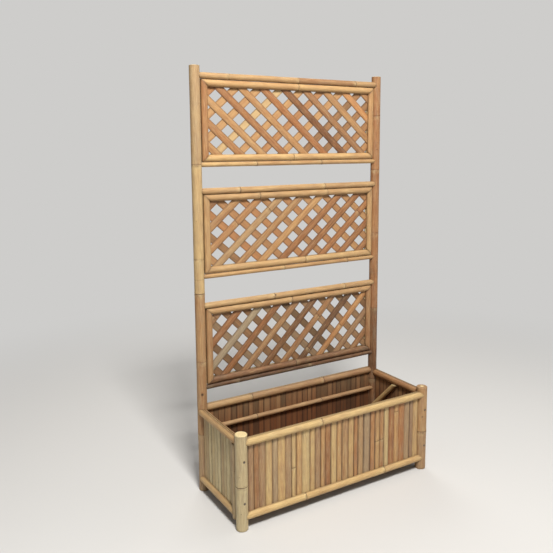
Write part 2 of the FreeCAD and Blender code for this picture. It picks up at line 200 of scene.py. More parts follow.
class Net:
    """A node tree that is written as formulas of its wires."""

    def __init__(self, tree):
        self.tree = tree

    def wire(self, node, wires):
        """Lead values to a node's inputs, or type them in."""
        for key, value in wires.items():
            if isinstance(value, Wire):
                self.tree.links.new(value.socket, node.inputs[key])
            else:
                node.inputs[key].default_value = value
        return node

    def put(self, kind, wires=None, **settings):
        """A new node with its settings and its inputs."""
        node = self.tree.nodes.new(kind)
        for key, value in settings.items():
            setattr(node, key, value)
        return self.wire(node, wires or {})

    def out(self, kind, wires=None, which=0, **settings):
        """One output of a new node."""
        return Wire(self, self.put(kind, wires, **settings).outputs[which])

    def outs(self, kind, wires=None, **settings):
        """All outputs of a new node, by their names."""
        return {socket.name: Wire(self, socket) for socket in self.put(kind, wires, **settings).outputs}

    def calc(self, operation, *values):
        """The result of one maths node."""
        return self.out("ShaderNodeMath", dict(enumerate(values)), operation=operation)

    def vcalc(self, operation, *values, which=0):
        """The result of one vector maths node."""
        return self.out("ShaderNodeVectorMath", dict(enumerate(values)), which, operation=operation)

    def vector(self, x=0.0, y=0.0, z=0.0):
        """A vector from three values."""
        return self.out("ShaderNodeCombineXYZ", {0: x, 1: y, 2: z})

    def noise(self, vector, scale, detail=2.0, roughness=0.55):
        """The value of a noise texture."""
        return self.out("ShaderNodeTexNoise",
                        {"Vector": vector, "Scale": scale, "Detail": detail, "Roughness": roughness})

    def mark(self, name, which="Fac"):
        """A mark stored on the mesh, as a material reads it."""
        return self.out("ShaderNodeAttribute", which=which, attribute_name=name)

    def blend(self, amount, under, over, mode="MIX"):
        """One colour laid over another."""
        return self.out("ShaderNodeMix", {0: amount, 6: under, 7: over}, 2, data_type="RGBA", blend_type=mode)

    def group(self, name, wires=None):
        """The outputs of a shader group."""
        return self.outs("ShaderNodeGroup", wires, node_tree=bpy.data.node_groups[name])

    def named(self, name, kind="FLOAT"):
        """A mark stored on the geometry, as geometry nodes read it."""
        return self.out("GeometryNodeInputNamedAttribute", {"Name": name}, "Attribute", data_type=kind)

    def store(self, geometry, name, value, kind="FLOAT", domain="POINT"):
        """The geometry with a mark stored on it."""
        return self.out("GeometryNodeStoreNamedAttribute", {"Geometry": geometry, "Name": name, "Value": value},
                        data_type=kind, domain=domain)

    def place(self):
        """The three values of each point's place."""
        return self.out("GeometryNodeInputPosition").parts()

    def moved(self, geometry, position):
        """The geometry with its points at new places."""
        return self.out("GeometryNodeSetPosition", {"Geometry": geometry, "Position": position})

    def give(self, wires):
        """Lead the results to the group's outputs."""
        self.put("NodeGroupOutput", wires)


def new_net(name, kind, takes, gives):
    """A node group and its inputs as wires; a socket's kind comes from its default, or is named."""
    tree = bpy.data.node_groups.new(name, kind)
    for label, value in takes.items():
        plain = isinstance(value, (int, float))
        typed = type(value).__name__.capitalize() if plain else value
        socket = tree.interface.new_socket(label, in_out="INPUT", socket_type="NodeSocket" + typed)
        if plain:
            socket.default_value = value
    for label in gives:
        typed = label if label in ("Geometry", "Color") else "Float"
        tree.interface.new_socket(label, in_out="OUTPUT", socket_type="NodeSocket" + typed)
    net = Net(tree)
    return net, net.outs("NodeGroupInput")


def new_material(name):
    """A material's tree and its main shader."""
    material = bpy.data.materials.new(name)
    material.use_nodes = True
    return Net(material.node_tree), material.node_tree.nodes["Principled BSDF"]


def rgba(srgb):
    """A linear colour from an sRGB one in 0-255."""
    shares = [channel / 255 for channel in srgb]
    return (*(c / 12.92 if c <= 0.04045 else ((c + 0.055) / 1.055) ** 2.4 for c in shares), 1.0)


# ================================================================= properties
def colour_property(name, description, srgb):
    """A colour setting given as sRGB in 0-255 and kept linear."""
    return FloatVectorProperty(name=name, description=description, subtype="COLOR", size=4, min=0.0, max=1.0,
                               default=rgba(srgb))


def length_property(name, description, usual, most):
    """A small length setting, given in millimetres and kept in metres."""
    return FloatProperty(name=name, description=description, default=usual * MM, min=0.0, max=most * MM,
                         precision=5, unit="LENGTH")


class PlanterSizes(bpy.types.PropertyGroup):
    """Sizes of the natural detail, in metres."""

    joint_height: length_property("Joint height", "How far a culm's ring stands out at each joint", 1.0, 2.0)
    culm_wander: length_property("Culm wander", "How far a pole's line strays from straight", 0.45, 3.0)
    skin_ripple: length_property("Skin ripple", "Unevenness of a culm's round", 0.2, 1.0)
    slat_wander: length_property("Slat wander", "How far a split's edges stray from straight", 0.8, 2.0)
    floor_size: FloatProperty(name="Floor size", description="Width of the studio floor", default=60.0, min=4.0,
                              unit="LENGTH")
    seed: IntProperty(name="Seed", description="Fixes every random choice", default=11, min=0)


class PlanterColours(bpy.types.PropertyGroup):
    """Colours of the bamboo, the screws and the studio."""

    smoked: colour_property("Smoked brown", "Darkest bamboo skin", (84, 56, 36))
    russet: colour_property("Russet", "Red-brown bamboo skin", (150, 104, 66))
    tan: colour_property("Tan", "Common bamboo skin", (183, 146, 98))
    straw: colour_property("Straw", "Light bamboo skin", (207, 178, 122))
    cream: colour_property("Cream", "Palest bamboo skin", (230, 212, 160))
    ember: colour_property("Ember", "Warm stain on single splits", (186, 112, 58))
    ash: colour_property("Ash", "Weathered grey of old skin", (150, 138, 116))
    # also the colour of the painted shade in seams and towards the pieces' ends
    scar: colour_property("Scar", "Dark line of a joint", (62, 40, 26))
    sawn: colour_property("Sawn", "Fresh sawn or split bamboo", (240, 220, 166))
    steel: colour_property("Steel", "Dull zinc of the screws", (120, 112, 102))
    floor: colour_property("Floor", "Studio floor", (206, 205, 203))


# =================================================================== finishes
def fibre_group():
    """Long fibres: fine and broad streaks that follow the culm's own grain."""
    net, takes = new_net("Bamboo fibre", "ShaderNodeTree", {"Per metre": 620.0, "Stretch": 0.035},
                         ("Fine", "Broad", "Patch"))
    grain = net.mark("grain", "Vector")
    across = takes["Per metre"]
    fine = grain.times(net.vector(across * takes["Stretch"], across, across))
    broad = fine.times((0.35, 0.16, 0.16))
    net.give({"Fine": net.noise(fine, 1.0, 3.0, 0.62), "Broad": net.noise(broad, 1.0, 2.0, 0.5),
              "Patch": net.noise(grain, 16.0, 3.0, 0.6)})


def joint_group():
    """Marks at a joint: the dark scar line, the pale bloom below it, the smudge round it."""
    net, takes = new_net("Joint marks", "ShaderNodeTree", {"Line": 0.0012, "Reach": 0.016},
                         ("Scar", "Bloom", "Smudge"))
    away, grain = net.mark("joint"), net.mark("grain", "Vector")
    ragged = net.noise(grain, 170.0, 2.0) * 0.0016 - 0.0008
    line = abs(away - 0.0024 + ragged).ranged(takes["Line"], takes["Line"] * 0.35, smooth=True)
    below = away.ranged(takes["Reach"] * -1.6, 0.0, smooth=True) * away.ranged(0.0012, -0.0005)
    near = abs(away).ranged(takes["Reach"], 0.0, smooth=True)
    net.give({"Scar": line * (1.0 - net.mark("faint")), "Bloom": below * net.noise(grain, 60.0).ranged(0.3, 0.7),
              "Smudge": near * net.noise(grain, 85.0, 3.0).ranged(0.42, 0.72)})


def weather_group():
    """Age: grey patches, and small dark specks of mould."""
    net, takes = new_net("Weathering", "ShaderNodeTree", {"Grey": 0.5, "Specks": 0.5}, ("Grey mask", "Speck mask"))
    grain = net.mark("grain", "Vector")
    patch = net.noise(grain.times((14.0, 45.0, 45.0)), 1.0, 4.0, 0.6).ranged(0.40, 0.75, smooth=True)
    fleck = net.noise(grain.times((190.0, 430.0, 430.0)), 1.0, 2.0, 0.5).ranged(0.66, 0.74)
    spread = net.noise(grain, 22.0, 2.0).ranged(0.45, 0.65)
    net.give({"Grey mask": patch * takes["Grey"], "Speck mask": fleck * spread * takes["Specks"]})


def tone_group(colours):
    """Skin colour from a piece's tone (dark to pale), which on some pieces carries painted shade, and warmth (grey to
    red).
    """
    net, takes = new_net("Bamboo tone", "ShaderNodeTree", {"Shift": 0.0}, ("Color",))
    tone, warmth, _ = net.mark("dye", "Vector").parts()
    ramp = net.put("ShaderNodeValToRGB", {0: tone + takes["Shift"]})
    steps = (colours.smoked, colours.russet, colours.tan, colours.straw, colours.cream)
    ends = ramp.color_ramp.elements
    while len(ends) < len(steps):
        ends.new(0.5)
    for index, colour in enumerate(steps):
        ends[index].position = index / (len(steps) - 1)
        ends[index].color = colour
    warm = net.blend(warmth.ranged(0.0, 1.0), Wire(net, ramp.outputs[0]), colours.ember)
    net.give({"Color": net.blend(warmth.ranged(0.0, -1.0), warm, colours.ash)})


def bamboo_material(name, colours, streak=0.5, grey=0.35, specks=0.6, rough=0.5, bump=0.35, per_metre=620.0,
                    line=1.4, raw=0.35, gap_shade=0.6, inside_shade=0.0):
    """Bamboo skin with its sawn faces, for one kind of piece, and the painted shade in its seams, at its ends and
    inside the box.
    """
    net, shader = new_material(name)
    fibre = net.group("Bamboo fibre", {"Per metre": per_metre})
    joint = net.group("Joint marks", {"Line": line * MM})
    age = net.group("Weathering", {"Grey": grey, "Specks": specks})
    shift = fibre["Broad"] * streak - streak / 2 + (fibre["Patch"] * 0.26 - 0.13)
    skin = toned = net.group("Bamboo tone", {"Shift": shift})["Color"]
    fine, cut, scar = fibre["Fine"], net.mark("cut"), colours.scar
    for amount, over, mode in (
        (age["Grey mask"], colours.ash, "MIX"),
        (fine.ranged(0.55, 0.30, 0.0, 0.42), colours.russet, "MULTIPLY"),
        (fine.ranged(0.55, 0.80, 0.0, 0.35), colours.cream, "MIX"),
        (joint["Bloom"] * 0.30, colours.cream, "MIX"),
        (joint["Smudge"] * 0.55, colours.smoked, "MIX"),
        (joint["Scar"] * 0.85, scar, "MIX"),
        (net.mark("knot").ranged(0.25, 0.8, 0.0, 0.9), scar, "MIX"),
        (age["Speck mask"], scar, "MIX"),
    ):
        skin = net.blend(amount, skin, over, mode)
    pores = fine.ranged(0.58, 0.36, 0.0, 0.4)
    face = net.blend(raw, net.blend(pores, colours.sawn, colours.russet), toned)
    # painted shade: each piece darkens towards its ends, in the crevice where it meets its neighbour, and on its end
    # faces
    colour = net.blend(net.mark("butt") * 0.55, net.blend(cut, skin, face), scar, "MULTIPLY")
    # painted shade in the seams where a piece meets its neighbour, darkest in the gaps between splits
    colour = net.blend(net.mark("seam") * fibre["Patch"].ranged(0.3, 0.6, gap_shade * 0.6, gap_shade), colour, scar)
    # painted shade: the faces inside the box darken towards its floor, as the shadow that fills the box
    height = net.out("ShaderNodeTexCoord", which="Object").parts()[2]
    inside_shade_share = height.ranged(SIDE_RAIL_Z * MM, MID_RAIL_Z * 0.8 * MM, inside_shade * 0.5, inside_shade, smooth=True)
    relief = fine + fibre["Patch"] * 0.8 - joint["Scar"] * 1.6
    net.wire(shader, {
        "Base Color": net.blend(inside_shade_share * cut, colour, colours.russet, "MULTIPLY"),
        "Roughness": fibre["Broad"].ranged(0.3, 0.7, rough - 0.07, rough + 0.10) + cut * 0.22,
        "Normal": net.out("ShaderNodeBump", {"Height": relief, "Strength": bump, "Distance": 0.0006}),
        "Specular IOR Level": 0.42,
    })


def steel_material(colours):
    """Dull zinc with a little tarnish."""
    net, shader = new_material("screw steel")
    place = net.out("ShaderNodeTexCoord", which="Object")
    stain = net.noise(place, 420.0, 3.0).ranged(0.42, 0.66)
    net.wire(shader, {
        "Base Color": net.blend(stain, colours.steel, colours.smoked),
        "Roughness": stain.ranged(0.0, 1.0, 0.38, 0.62),
        "Metallic": stain.ranged(0.0, 1.0, 0.9, 0.35),
        "Normal": net.out("ShaderNodeBump", {"Height": net.noise(place, 900.0), "Strength": 0.2, "Distance": 0.0002}),
    })


FINISHES = {
    "post skin": dict(streak=0.26, grey=0.28, specks=0.75, rough=0.60, per_metre=560.0, line=2.0, raw=0.1),
    "pole skin": dict(streak=0.24, grey=0.22, specks=0.65, rough=0.57, line=1.6),
    "frame skin": dict(streak=0.22, grey=0.16, specks=0.45, rough=0.62),
    "rail skin": dict(streak=0.24, grey=0.20, specks=0.50, rough=0.60, line=1.6),
    "lattice split": dict(streak=0.32, grey=0.20, specks=0.40, rough=0.56, per_metre=760.0, raw=0.92,
                          gap_shade=0.85),
    "wall split": dict(streak=0.46, grey=0.30, specks=0.55, rough=0.60, per_metre=700.0, raw=0.85,
                       gap_shade=0.95, inside_shade=0.88),
    "floor split": dict(streak=0.28, grey=0.30, specks=0.60, rough=0.62, raw=0.7, inside_shade=0.6),
}
SLOT_FINISH = {
    "post_culm": "post skin", "pole_culm": "pole skin", "frame_half_culm": "frame skin", "rail_half_culm": "rail skin",
    "lattice_split": "lattice split", "wall_split": "wall split", "floor_split": "floor split",
    "screw_steel": "screw steel",
}


# ================================================================ culm bodies
def waves(rng, count, longest):
    """Random slow waves: (amplitude share, wavelength, phase) for each."""
    return [(rng.uniform(0.5, 1.0) / count, longest / (k + 1) * rng.uniform(0.8, 1.2), rng.uniform(0, math.tau))
            for k in range(count)]


def summed(parts, s):
    """The waves' sum at places along a culm."""
    return sum(a * np.sin(math.tau * s / length + phase) for a, length, phase in parts)


def hill(away, spread, power=2):
    """A smooth hill, 1 high at its middle."""
    return np.exp(-(away / spread) ** power)


def section(radius, half, sides):
    """Unit directions round a culm, where they are flat, and its core point."""
    if not half:
        return np.arange(sides) * math.tau / sides, np.zeros(sides, bool), (0.0, 0.0)
    start = math.acos(-SAW_KERF / radius)
    arc = np.linspace(start, math.tau - start, sides)
    flat = np.linspace(-1, 1, 7)[1:-1]
    return np.concatenate([arc, flat]), np.arange(sides + len(flat)) >= sides, (-radius * 0.4, 0.0)


class Culm:
    """One culm or half culm along local X, gathered as points, faces and marks."""

    def __init__(self, seed, sizes, radius, ends, joints=(), half=False, sides=36, knots=(), dimples=(), faint=(),
                 limits=(-FAR, FAR), tones=(0.5,), warmth=0.0, caps=(None, None)):
        self.rng, self.sizes, self.radius, self.half = random.Random(seed), sizes, radius, half
        self.ends = [end if callable(end) else (lambda a, b, end=end: a * 0 + end) for end in ends]
        self.joints, self.faint, self.knots, self.dimples = sorted(joints), faint, knots, dimples
        self.limits, self.tones, self.warmth, self.caps = limits, tones, warmth, caps
        self.turn, self.flat, self.core = section(radius, half, sides)
        self.count = len(self.turn)
        self.points, self.marks, self.faces, self.cut = [], [], [], []
        self.build()

    # -- the surface ---------------------------------------------------------
    def rise(self, s):
        """How far the joints lift the skin at places along the culm."""
        out = np.zeros_like(s)
        for at in self.joints:
            share = self.sizes.joint_height / MM * (FAINT_HEIGHT if at in self.faint else 1.0)
            for offset, height, spread in JOINT_FORM:
                out += share * height * hill(s - at - offset, spread)
        return out

    def away(self, s, at, angle):
        """Distance over the skin from one place on the culm."""
        return np.hypot(s - at, self.radius * np.angle(np.exp(1j * (self.turn - angle))))

    def outline(self, radius, height):
        """Points (a, b) round the culm; a half culm's flat reaches as far as height."""
        a, b = radius * np.cos(self.turn), radius * np.sin(self.turn)
        if self.half:
            a = np.where(self.flat, 0.0, np.minimum(SAW_KERF + a, 0.0))
            b = np.where(self.flat, self.turn * height, b)
        return a, b

    def ring(self, s, shrink=0.0):
        """Points (s, a, b) round the culm at places s, one for each direction."""
        ripple = self.sizes.skin_ripple / MM
        uneven = ripple * (summed(self.round_waves[0], s + 40 * np.cos(self.turn))
                           + 0.8 * summed(self.round_waves[1], s) * np.cos(2 * self.turn + 0.7)
                           + 0.6 * summed(self.round_waves[2], s) * np.cos(3 * self.turn + 2.1))
        radius = self.radius - ripple * 0.5 + uneven + self.rise(s) - shrink
        for at, angle, size in self.knots:
            far = self.away(s, at, angle)
            radius = radius + 0.9 * hill(far - size, 0.45 * size) - 0.5 * hill(far, 0.5 * size)
        for at, angle, size in self.dimples:
            radius = radius - DIMPLE_DEPTH * hill(self.away(s, at, angle), size, 6)
        a, b = self.outline(radius, np.sqrt(np.maximum(radius ** 2 - SAW_KERF ** 2, 1.0)))
        # a culm strays from its line between its ends, which stay where they are held
        low, high = self.reach
        hold = np.sin(np.pi * np.clip((s - low) / (high - low), 0, 1)) ** 0.6
        stray = self.sizes.culm_wander / MM * hold * (0.45 if self.half else 1.0)
        if not self.half:
            a = a + stray * summed(self.line_waves[0], s)
        b = np.clip(b + stray * summed(self.line_waves[1], s), *self.limits)
        return np.stack([s, a, b], 1)

    def build(self):
        """Lay rings of points from end to end, then close the ends."""
        self.round_waves = [waves(self.rng, *form) for form in ((3, 420.0), (3, 260.0), (2, 180.0))]
        self.line_waves = [waves(self.rng, 2, 900.0) for _ in range(2)]
        probe = self.outline(self.radius, self.radius)
        low, high = (end(*probe) for end in self.ends)
        self.reach = (float(low.min()), float(high.max()))
        last = END_RINGS[-1][0]
        inner = (float(low.max()) + last, float(high.min()) - last)
        places = list(np.arange(inner[0] + PLAIN_STEP, inner[1] - PLAIN_STEP / 2, PLAIN_STEP))
        for at in self.joints:
            places = [p for p in places if abs(p - at) > JOINT_CLEAR] + [at + d for d in JOINT_RINGS]
        for at, _, size in (*self.knots, *self.dimples):
            places = [p for p in places if abs(p - at) > 2.2 * size] + list(at + np.linspace(-2, 2, 13) * size)
        places = sorted(p for p in places if inner[0] + 2 < p < inner[1] - 2)
        rows = [(low + offset, shrink, offset) for offset, shrink in END_RINGS]
        rows += [(np.full(self.count, p), 0.0, min(p - self.reach[0], self.reach[1] - p)) for p in places]
        rows += [(high - offset, shrink, offset) for offset, shrink in reversed(END_RINGS)]
        if self.caps[0]:
            rows = [row for row in rows if row[0].min() > self.reach[0] + self.caps[0][0]]
        if self.caps[1]:
            rows = [row for row in rows if row[0].max() < self.reach[1] - self.caps[1][0]]
        for s, shrink, near in rows:
            points = self.ring(s, shrink)
            base = self.add(points, math.exp(-near / 3.5), self.knot_of(s), self.seam_of(points[:, 2]))
            if base:
                self.skin(base - self.count, base, False)
        for which, rim in enumerate((0, len(self.points) - self.count)):
            self.close_end(which, rim)

    def add(self, points, butt, knot=0.0, seam=0.0):
        """Keep points with their marks, and tell the number of the first."""
        base = len(self.points)
        self.points.extend(points)
        self.marks.extend(np.column_stack(np.broadcast_arrays(points[:, 0], butt, knot, seam)))
        return base

    def knot_of(self, s):
        """How dark the knots and the screws' dimples make each point."""
        knot = np.zeros(self.count)
        for at, angle, size in self.knots:
            knot = np.maximum(knot, hill(self.away(s, at, angle), 0.75 * size))
        for at, angle, size in self.dimples:
            knot = np.maximum(knot, 0.55 * hill(self.away(s, at, angle), 1.1 * size, 4))
        return knot

    def seam_of(self, b):
        """How near each point lies to where the piece meets its neighbour, where the finish paints shade."""
        if self.half:
            return np.clip((np.abs(b) / self.radius - 0.84) / 0.14, 0, 1)
        low, high = self.limits
        return np.clip(1 - np.minimum(b - low, high - b) / 3.0, 0, 1)

    def skin(self, first, second, cut, flip=False):
        """Faces from one ring of points to the next."""
        for j in range(self.count):
            k = (j + 1) % self.count
            quad = (first + j, first + k, second + k, second + j)
            self.faces.append(quad[::-1] if flip else quad)
            self.cut.append(float(cut or self.flat[j] or self.flat[k]))

    def close_end(self, which, rim):
        """Close one end: a lathed form where one is given, or a sawn face."""
        cap, core = self.caps[which], np.array(self.core)
        edge = np.array(self.points[rim:rim + self.count])[:, 1:]
        inwards = 1 if which == 0 else -1
        steps = [(share, None, True) for share in SAWN_SHARES]
        if cap:
            end = self.reach[which]
            steps = [(radius / self.radius, end + inwards * depth, sawn) for radius, depth, sawn in cap[1]]
        for share, place, sawn in steps:
            ab = core + (edge - core) * share
            s = np.full(self.count, place) if cap else self.ends[which](ab[:, 0], ab[:, 1])
            base = self.add(np.column_stack([s, ab]), 0.25 if cap else 1.0)
            self.skin(rim, base, sawn, flip=which == 0)
            rim = base
        s = steps[-1][1] if cap else float(self.ends[which](core[:1], core[1:])[0])
        hub = self.add(np.array([[s, *core]]), 0.2)
        for j in range(self.count):
            pair = (rim + j, rim + (j + 1) % self.count)
            self.faces.append((*(pair if which else pair[::-1]), hub))
            self.cut.append(1.0)

    # -- the mesh ------------------------------------------------------------
    def mesh(self, name, place):
        """The finished mesh, carried to its place and marked for its material."""
        local = np.array(self.points) * MM
        along, butt, knot, seam = np.array(self.marks).T
        mesh = bpy.data.meshes.new(name)
        turned = np.column_stack([local, np.ones(len(local))]) @ np.array(place).T
        mesh.from_pydata(turned[:, :3].tolist(), [], self.faces)
        mesh.update()
        # each piece is cut from its own stretch of grain
        mark(mesh, "grain", local + [self.rng.uniform(0, far) for far in (50, 9, 9)])
        near = np.min([np.abs(along - at) for at in self.faint] or [np.full(len(along), FAR)], axis=0)
        mark(mesh, "faint", np.where(near < FAINT_REACH, FAINT_SHARE, 0.0))
        mark(mesh, "joint", self.from_joint(along) * MM)
        mark(mesh, "dye", self.dye(along))
        mark(mesh, "butt", butt)
        mark(mesh, "knot", knot)
        mark(mesh, "seam", seam)
        mark(mesh, "cut", self.cut, "FACE")
        mesh.shade_smooth()
        mesh.set_sharp_from_angle(angle=math.radians(42))
        return mesh

    def from_joint(self, s):
        """Signed distance from the nearest joint."""
        if not self.joints:
            return np.full_like(s, 200.0)
        apart = s[:, None] - np.array(self.joints)[None, :]
        return np.clip(apart[np.arange(len(s)), np.abs(apart).argmin(1)], -200, 200)

    def dye(self, s):
        """Tone and warmth of each internode, which change at the joints."""
        step = np.searchsorted(np.array(self.joints), s) if self.joints else np.zeros(len(s), int)
        rows = (np.atleast_1d(row) for row in (self.tones, self.warmth))
        tone, warmth = (row[np.minimum(step, len(row) - 1)] for row in rows)
        return np.column_stack([tone, warmth, np.zeros(len(s))])


def mark(mesh, name, values, domain="POINT"):
    """Store one number or one vector for each point or face."""
    values = np.ascontiguousarray(values, np.float32)
    kind, field = ("FLOAT_VECTOR", "vector") if values.ndim == 2 else ("FLOAT", "value")
    mesh.attributes.new(name, kind, domain).data.foreach_set(field, values.ravel())


def show(node, ending, mesh, slot):
    """Link a finished piece, give it its slot's finish and let it stand for its CAD node."""
    piece = bpy.data.objects.new(f"{node}_{ending}", mesh)
    bpy.context.scene.collection.objects.link(piece)
    mesh.materials.clear()
    mesh.materials.append(bpy.data.materials[SLOT_FINISH[slot]])
    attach(piece, "root")
    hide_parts(node)


# ------------------------------------------------------------- local frames
def lying(x, y, z, turn=0.0, about_y=0.0):
    """Local X laid along world X, turned about Z then placed; half culms face -Y."""
    return (Matrix.Translation(Vector((x, y, z)) * MM) @ Matrix.Rotation(math.radians(turn), 4, "Z")
            @ Matrix.Rotation(math.radians(about_y), 4, "Y"))


def standing(x, y, z=0.0):
    """Local X stood along world Z."""
    up = Matrix(((0, 1, 0, 0), (0, 0, 1, 0), (1, 0, 0, 0), (0, 0, 0, 1)))
    return Matrix.Translation(Vector((x, y, z)) * MM) @ up


def coped(sign, axis_at, post_a, reach, stop=TONGUE_STOP):
    """An end hollowed to sit on a round post whose axis crosses at (axis_at, post_a)."""
    def end(a, b):
        inside = np.sqrt(np.maximum(reach ** 2 - (a - post_a) ** 2, stop ** 2))
        return sign * (axis_at - np.maximum(inside, stop))
    return end


def mitre(sign, half_length, edge, gap=0.35):
    """An end sawn at 45 degrees, longest at b = +edge."""
    def end(a, b):
        return sign * (half_length - (edge - b) - gap)
    return end


def turned(radius, share, bare, *rest):
    """A lathed end: how far it reaches, then radius, depth below the end and sawn or not of each step."""
    arc = [(1 - math.cos(t), 1 - math.sin(t)) for t in np.radians((0, 20, 40, 60, 78, 90))]
    steps = [(radius - EDGE_ROUND * inset * share, EDGE_ROUND * depth * share) for inset, depth in arc]
    steps = [(r, depth, depth < bare) for r, depth in steps] + [(r, depth, True) for r, depth in rest]
    return EDGE_ROUND + 2 * share, steps


# ================================================================== operators
class Step:
    """What every step of the planter's making can reach."""

    @property
    def sizes(self):
        return bpy.context.scene.planter_sizes

    @property
    def colours(self):
        return bpy.context.scene.planter_colours

    def seed(self, name):
        """The fixed luck of one piece."""
        return f"{self.sizes.seed}:{name}"

    def culm(self, name, place, radius, ends, **look):
        """The mesh of one culm with its own luck."""
        return Culm(self.seed(name), self.sizes, radius, ends, **look).mesh(name, place)


class PLANTER_OT_finishes(Step, bpy.types.Operator):
    """Make the bamboo and steel finishes"""

    bl_idname = "planter.finishes"
    bl_label = "Finishes"

    def execute(self, context):
        fibre_group()
        joint_group()
        weather_group()
        tone_group(self.colours)
        for name, values in FINISHES.items():
            bamboo_material(name, self.colours, **values)
        steel_material(self.colours)
        return {"FINISHED"}


REAR_JOINTS = {"left": (262.0, 592.0, 893.0, 1042.0, 1442.0), "right": (330.0, 705.0, 1086.0, 1400.0, 1660.0)}
# lathed ends: the front posts' domed tops and feet, the rear posts' feet and bored tops
FRONT_TOP = turned(FRONT_R, 1.0, 3.0, (FRONT_R * 0.72, 0.0), (FRONT_R * 0.62, 0.25), (FRONT_R * 0.35, 0.5))
WORN_TOP = (FRONT_TOP[0], [(radius, depth, False) for radius, depth, _ in FRONT_TOP[1]])
FRONT_FOOT = turned(FRONT_R, 1.0, 0.3, (FRONT_R * 0.6, 0.0), (FRONT_R * 0.3, 0.0))
REAR_FOOT = turned(REAR_R, 0.5, 0.3, (REAR_R * 0.6, 0.0), (REAR_R * 0.3, 0.0))
REAR_TOP = turned(REAR_R, 0.5, 0.3, (BORE_R + 2.5, 0.0), (BORE_R + 0.5, 0.2), (BORE_R, 1.0), (BORE_R - 0.3, 10.0),
                  (BORE_R - 0.5, 21.0), (BORE_R - 3.0, BORE_DEPTH - 0.5), (BORE_R - 8.0, BORE_DEPTH - 1.5))
FRONT_POST = dict(joints=(184.0,), dimples=tuple((z, 1.5 * math.pi, 5.6) for z in SCREW_Z))
# knots and dimples: height, angle round the post, size
POSTS = {
    "front_left_post": dict(FRONT_POST, caps=(FRONT_FOOT, FRONT_TOP), tones=(0.92, 0.86), warmth=-0.54,
                            knots=((352.0, 5.2, 3.0), (232.0, 3.9, 2.5), (78.0, 4.1, 3.0))),
    "front_right_post": dict(FRONT_POST, caps=(FRONT_FOOT, WORN_TOP), tones=(0.38, 0.40), warmth=(-0.22, -0.08),
                             knots=((262.0, 4.15, 5.0), (352.0, 4.9, 3.0))),
    "rear_left_post": dict(joints=REAR_JOINTS["left"], faint=REAR_JOINTS["left"][:2] + REAR_JOINTS["left"][3:],
                           caps=(REAR_FOOT, REAR_TOP), tones=(0.40, 0.36, 0.38, 0.62, 0.62, 0.50),
                           warmth=(-0.40, -0.08, -0.06, -0.16, -0.16, -0.30),
                           knots=((449.0, 4.35, 10.0), (1210.0, 4.0, 2.5))),
    "rear_right_post": dict(joints=REAR_JOINTS["right"], faint=REAR_JOINTS["right"], caps=(REAR_FOOT, REAR_TOP),
                            tones=(0.06, 0.08, 0.24, 0.29, 0.27, 0.28), warmth=0.04, knots=((1502.0, 4.4, 4.0),)),
}


class PLANTER_OT_posts(Step, bpy.types.Operator):
    """Make the four posts, solid at the front and open-topped at the rear"""

    bl_idname = "planter.posts"
    bl_label = "Posts"

    def execute(self, context):
        for name, look in POSTS.items():
            x = POST_X if "right" in name else -POST_X
            y, radius, top = (FRONT_Y, FRONT_R, FRONT_POST_H) if "front" in name else (REAR_Y, REAR_R, HEIGHT)
            show(name, "culm", self.culm(name, standing(x, y), radius, (0.0, top), sides=48, **look), "post_culm")
        return {"FINISHED"}


# ---- tones along a rail, dark 0 to pale 1, and its warmth, grey -1 to red 1
RAIL_TONES = {
    "front_top": ((0.70, 0.66), -0.04),
    "front_bottom": ((0.68, 0.64, 0.58), 0.0),
    "right_top": ((0.40,), 0.0),
    "right_bottom": ((0.46,), 0.0),
    "rear_top": ((0.40, 0.45, 0.54), -0.16),
    "rear_bottom": ((0.40, 0.38, 0.40), 0.0),
    "left_top": ((0.50,), -0.1),
    "left_bottom": ((0.60,), -0.1),
}
# places of the joints along each rail, in the outer half's own direction
RAIL_JOINTS = {"front_top": (-105.0,), "front_bottom": (-186.0, 241.0), "rear_top": (-165.0, 235.0),
               "rear_bottom": (-40.0, 310.0), "right_bottom": (60.0,)}
# each wall's turn, middle, half length between the posts' axes, and top rail's height
WALLS = {
    "front": (0, (0.0, FRONT_WALL_Y), POST_X, SIDE_RAIL_Z),
    "right": (90, (SIDE_WALL_X, SIDE_MID_Y), SIDE_HALF, SIDE_RAIL_Z),
    "rear": (180, (0.0, REAR_WALL_Y), POST_X, REAR_RAIL_Z),
    "left": (-90, (-SIDE_WALL_X, SIDE_MID_Y), SIDE_HALF, SIDE_RAIL_Z),
}

# how far each end's post axis stands inwards of a wall, and the post's radius: (start, finish)
WALL_POSTS = {
    "front": ((FRONT_Y - FRONT_WALL_Y, FRONT_R),) * 2,
    "right": ((SIDE_WALL_X - POST_X, FRONT_R), (SIDE_WALL_X - POST_X, REAR_R)),
    "rear": ((REAR_WALL_Y - REAR_Y, REAR_R),) * 2,
    "left": ((SIDE_WALL_X - POST_X, REAR_R), (SIDE_WALL_X - POST_X, FRONT_R)),
}


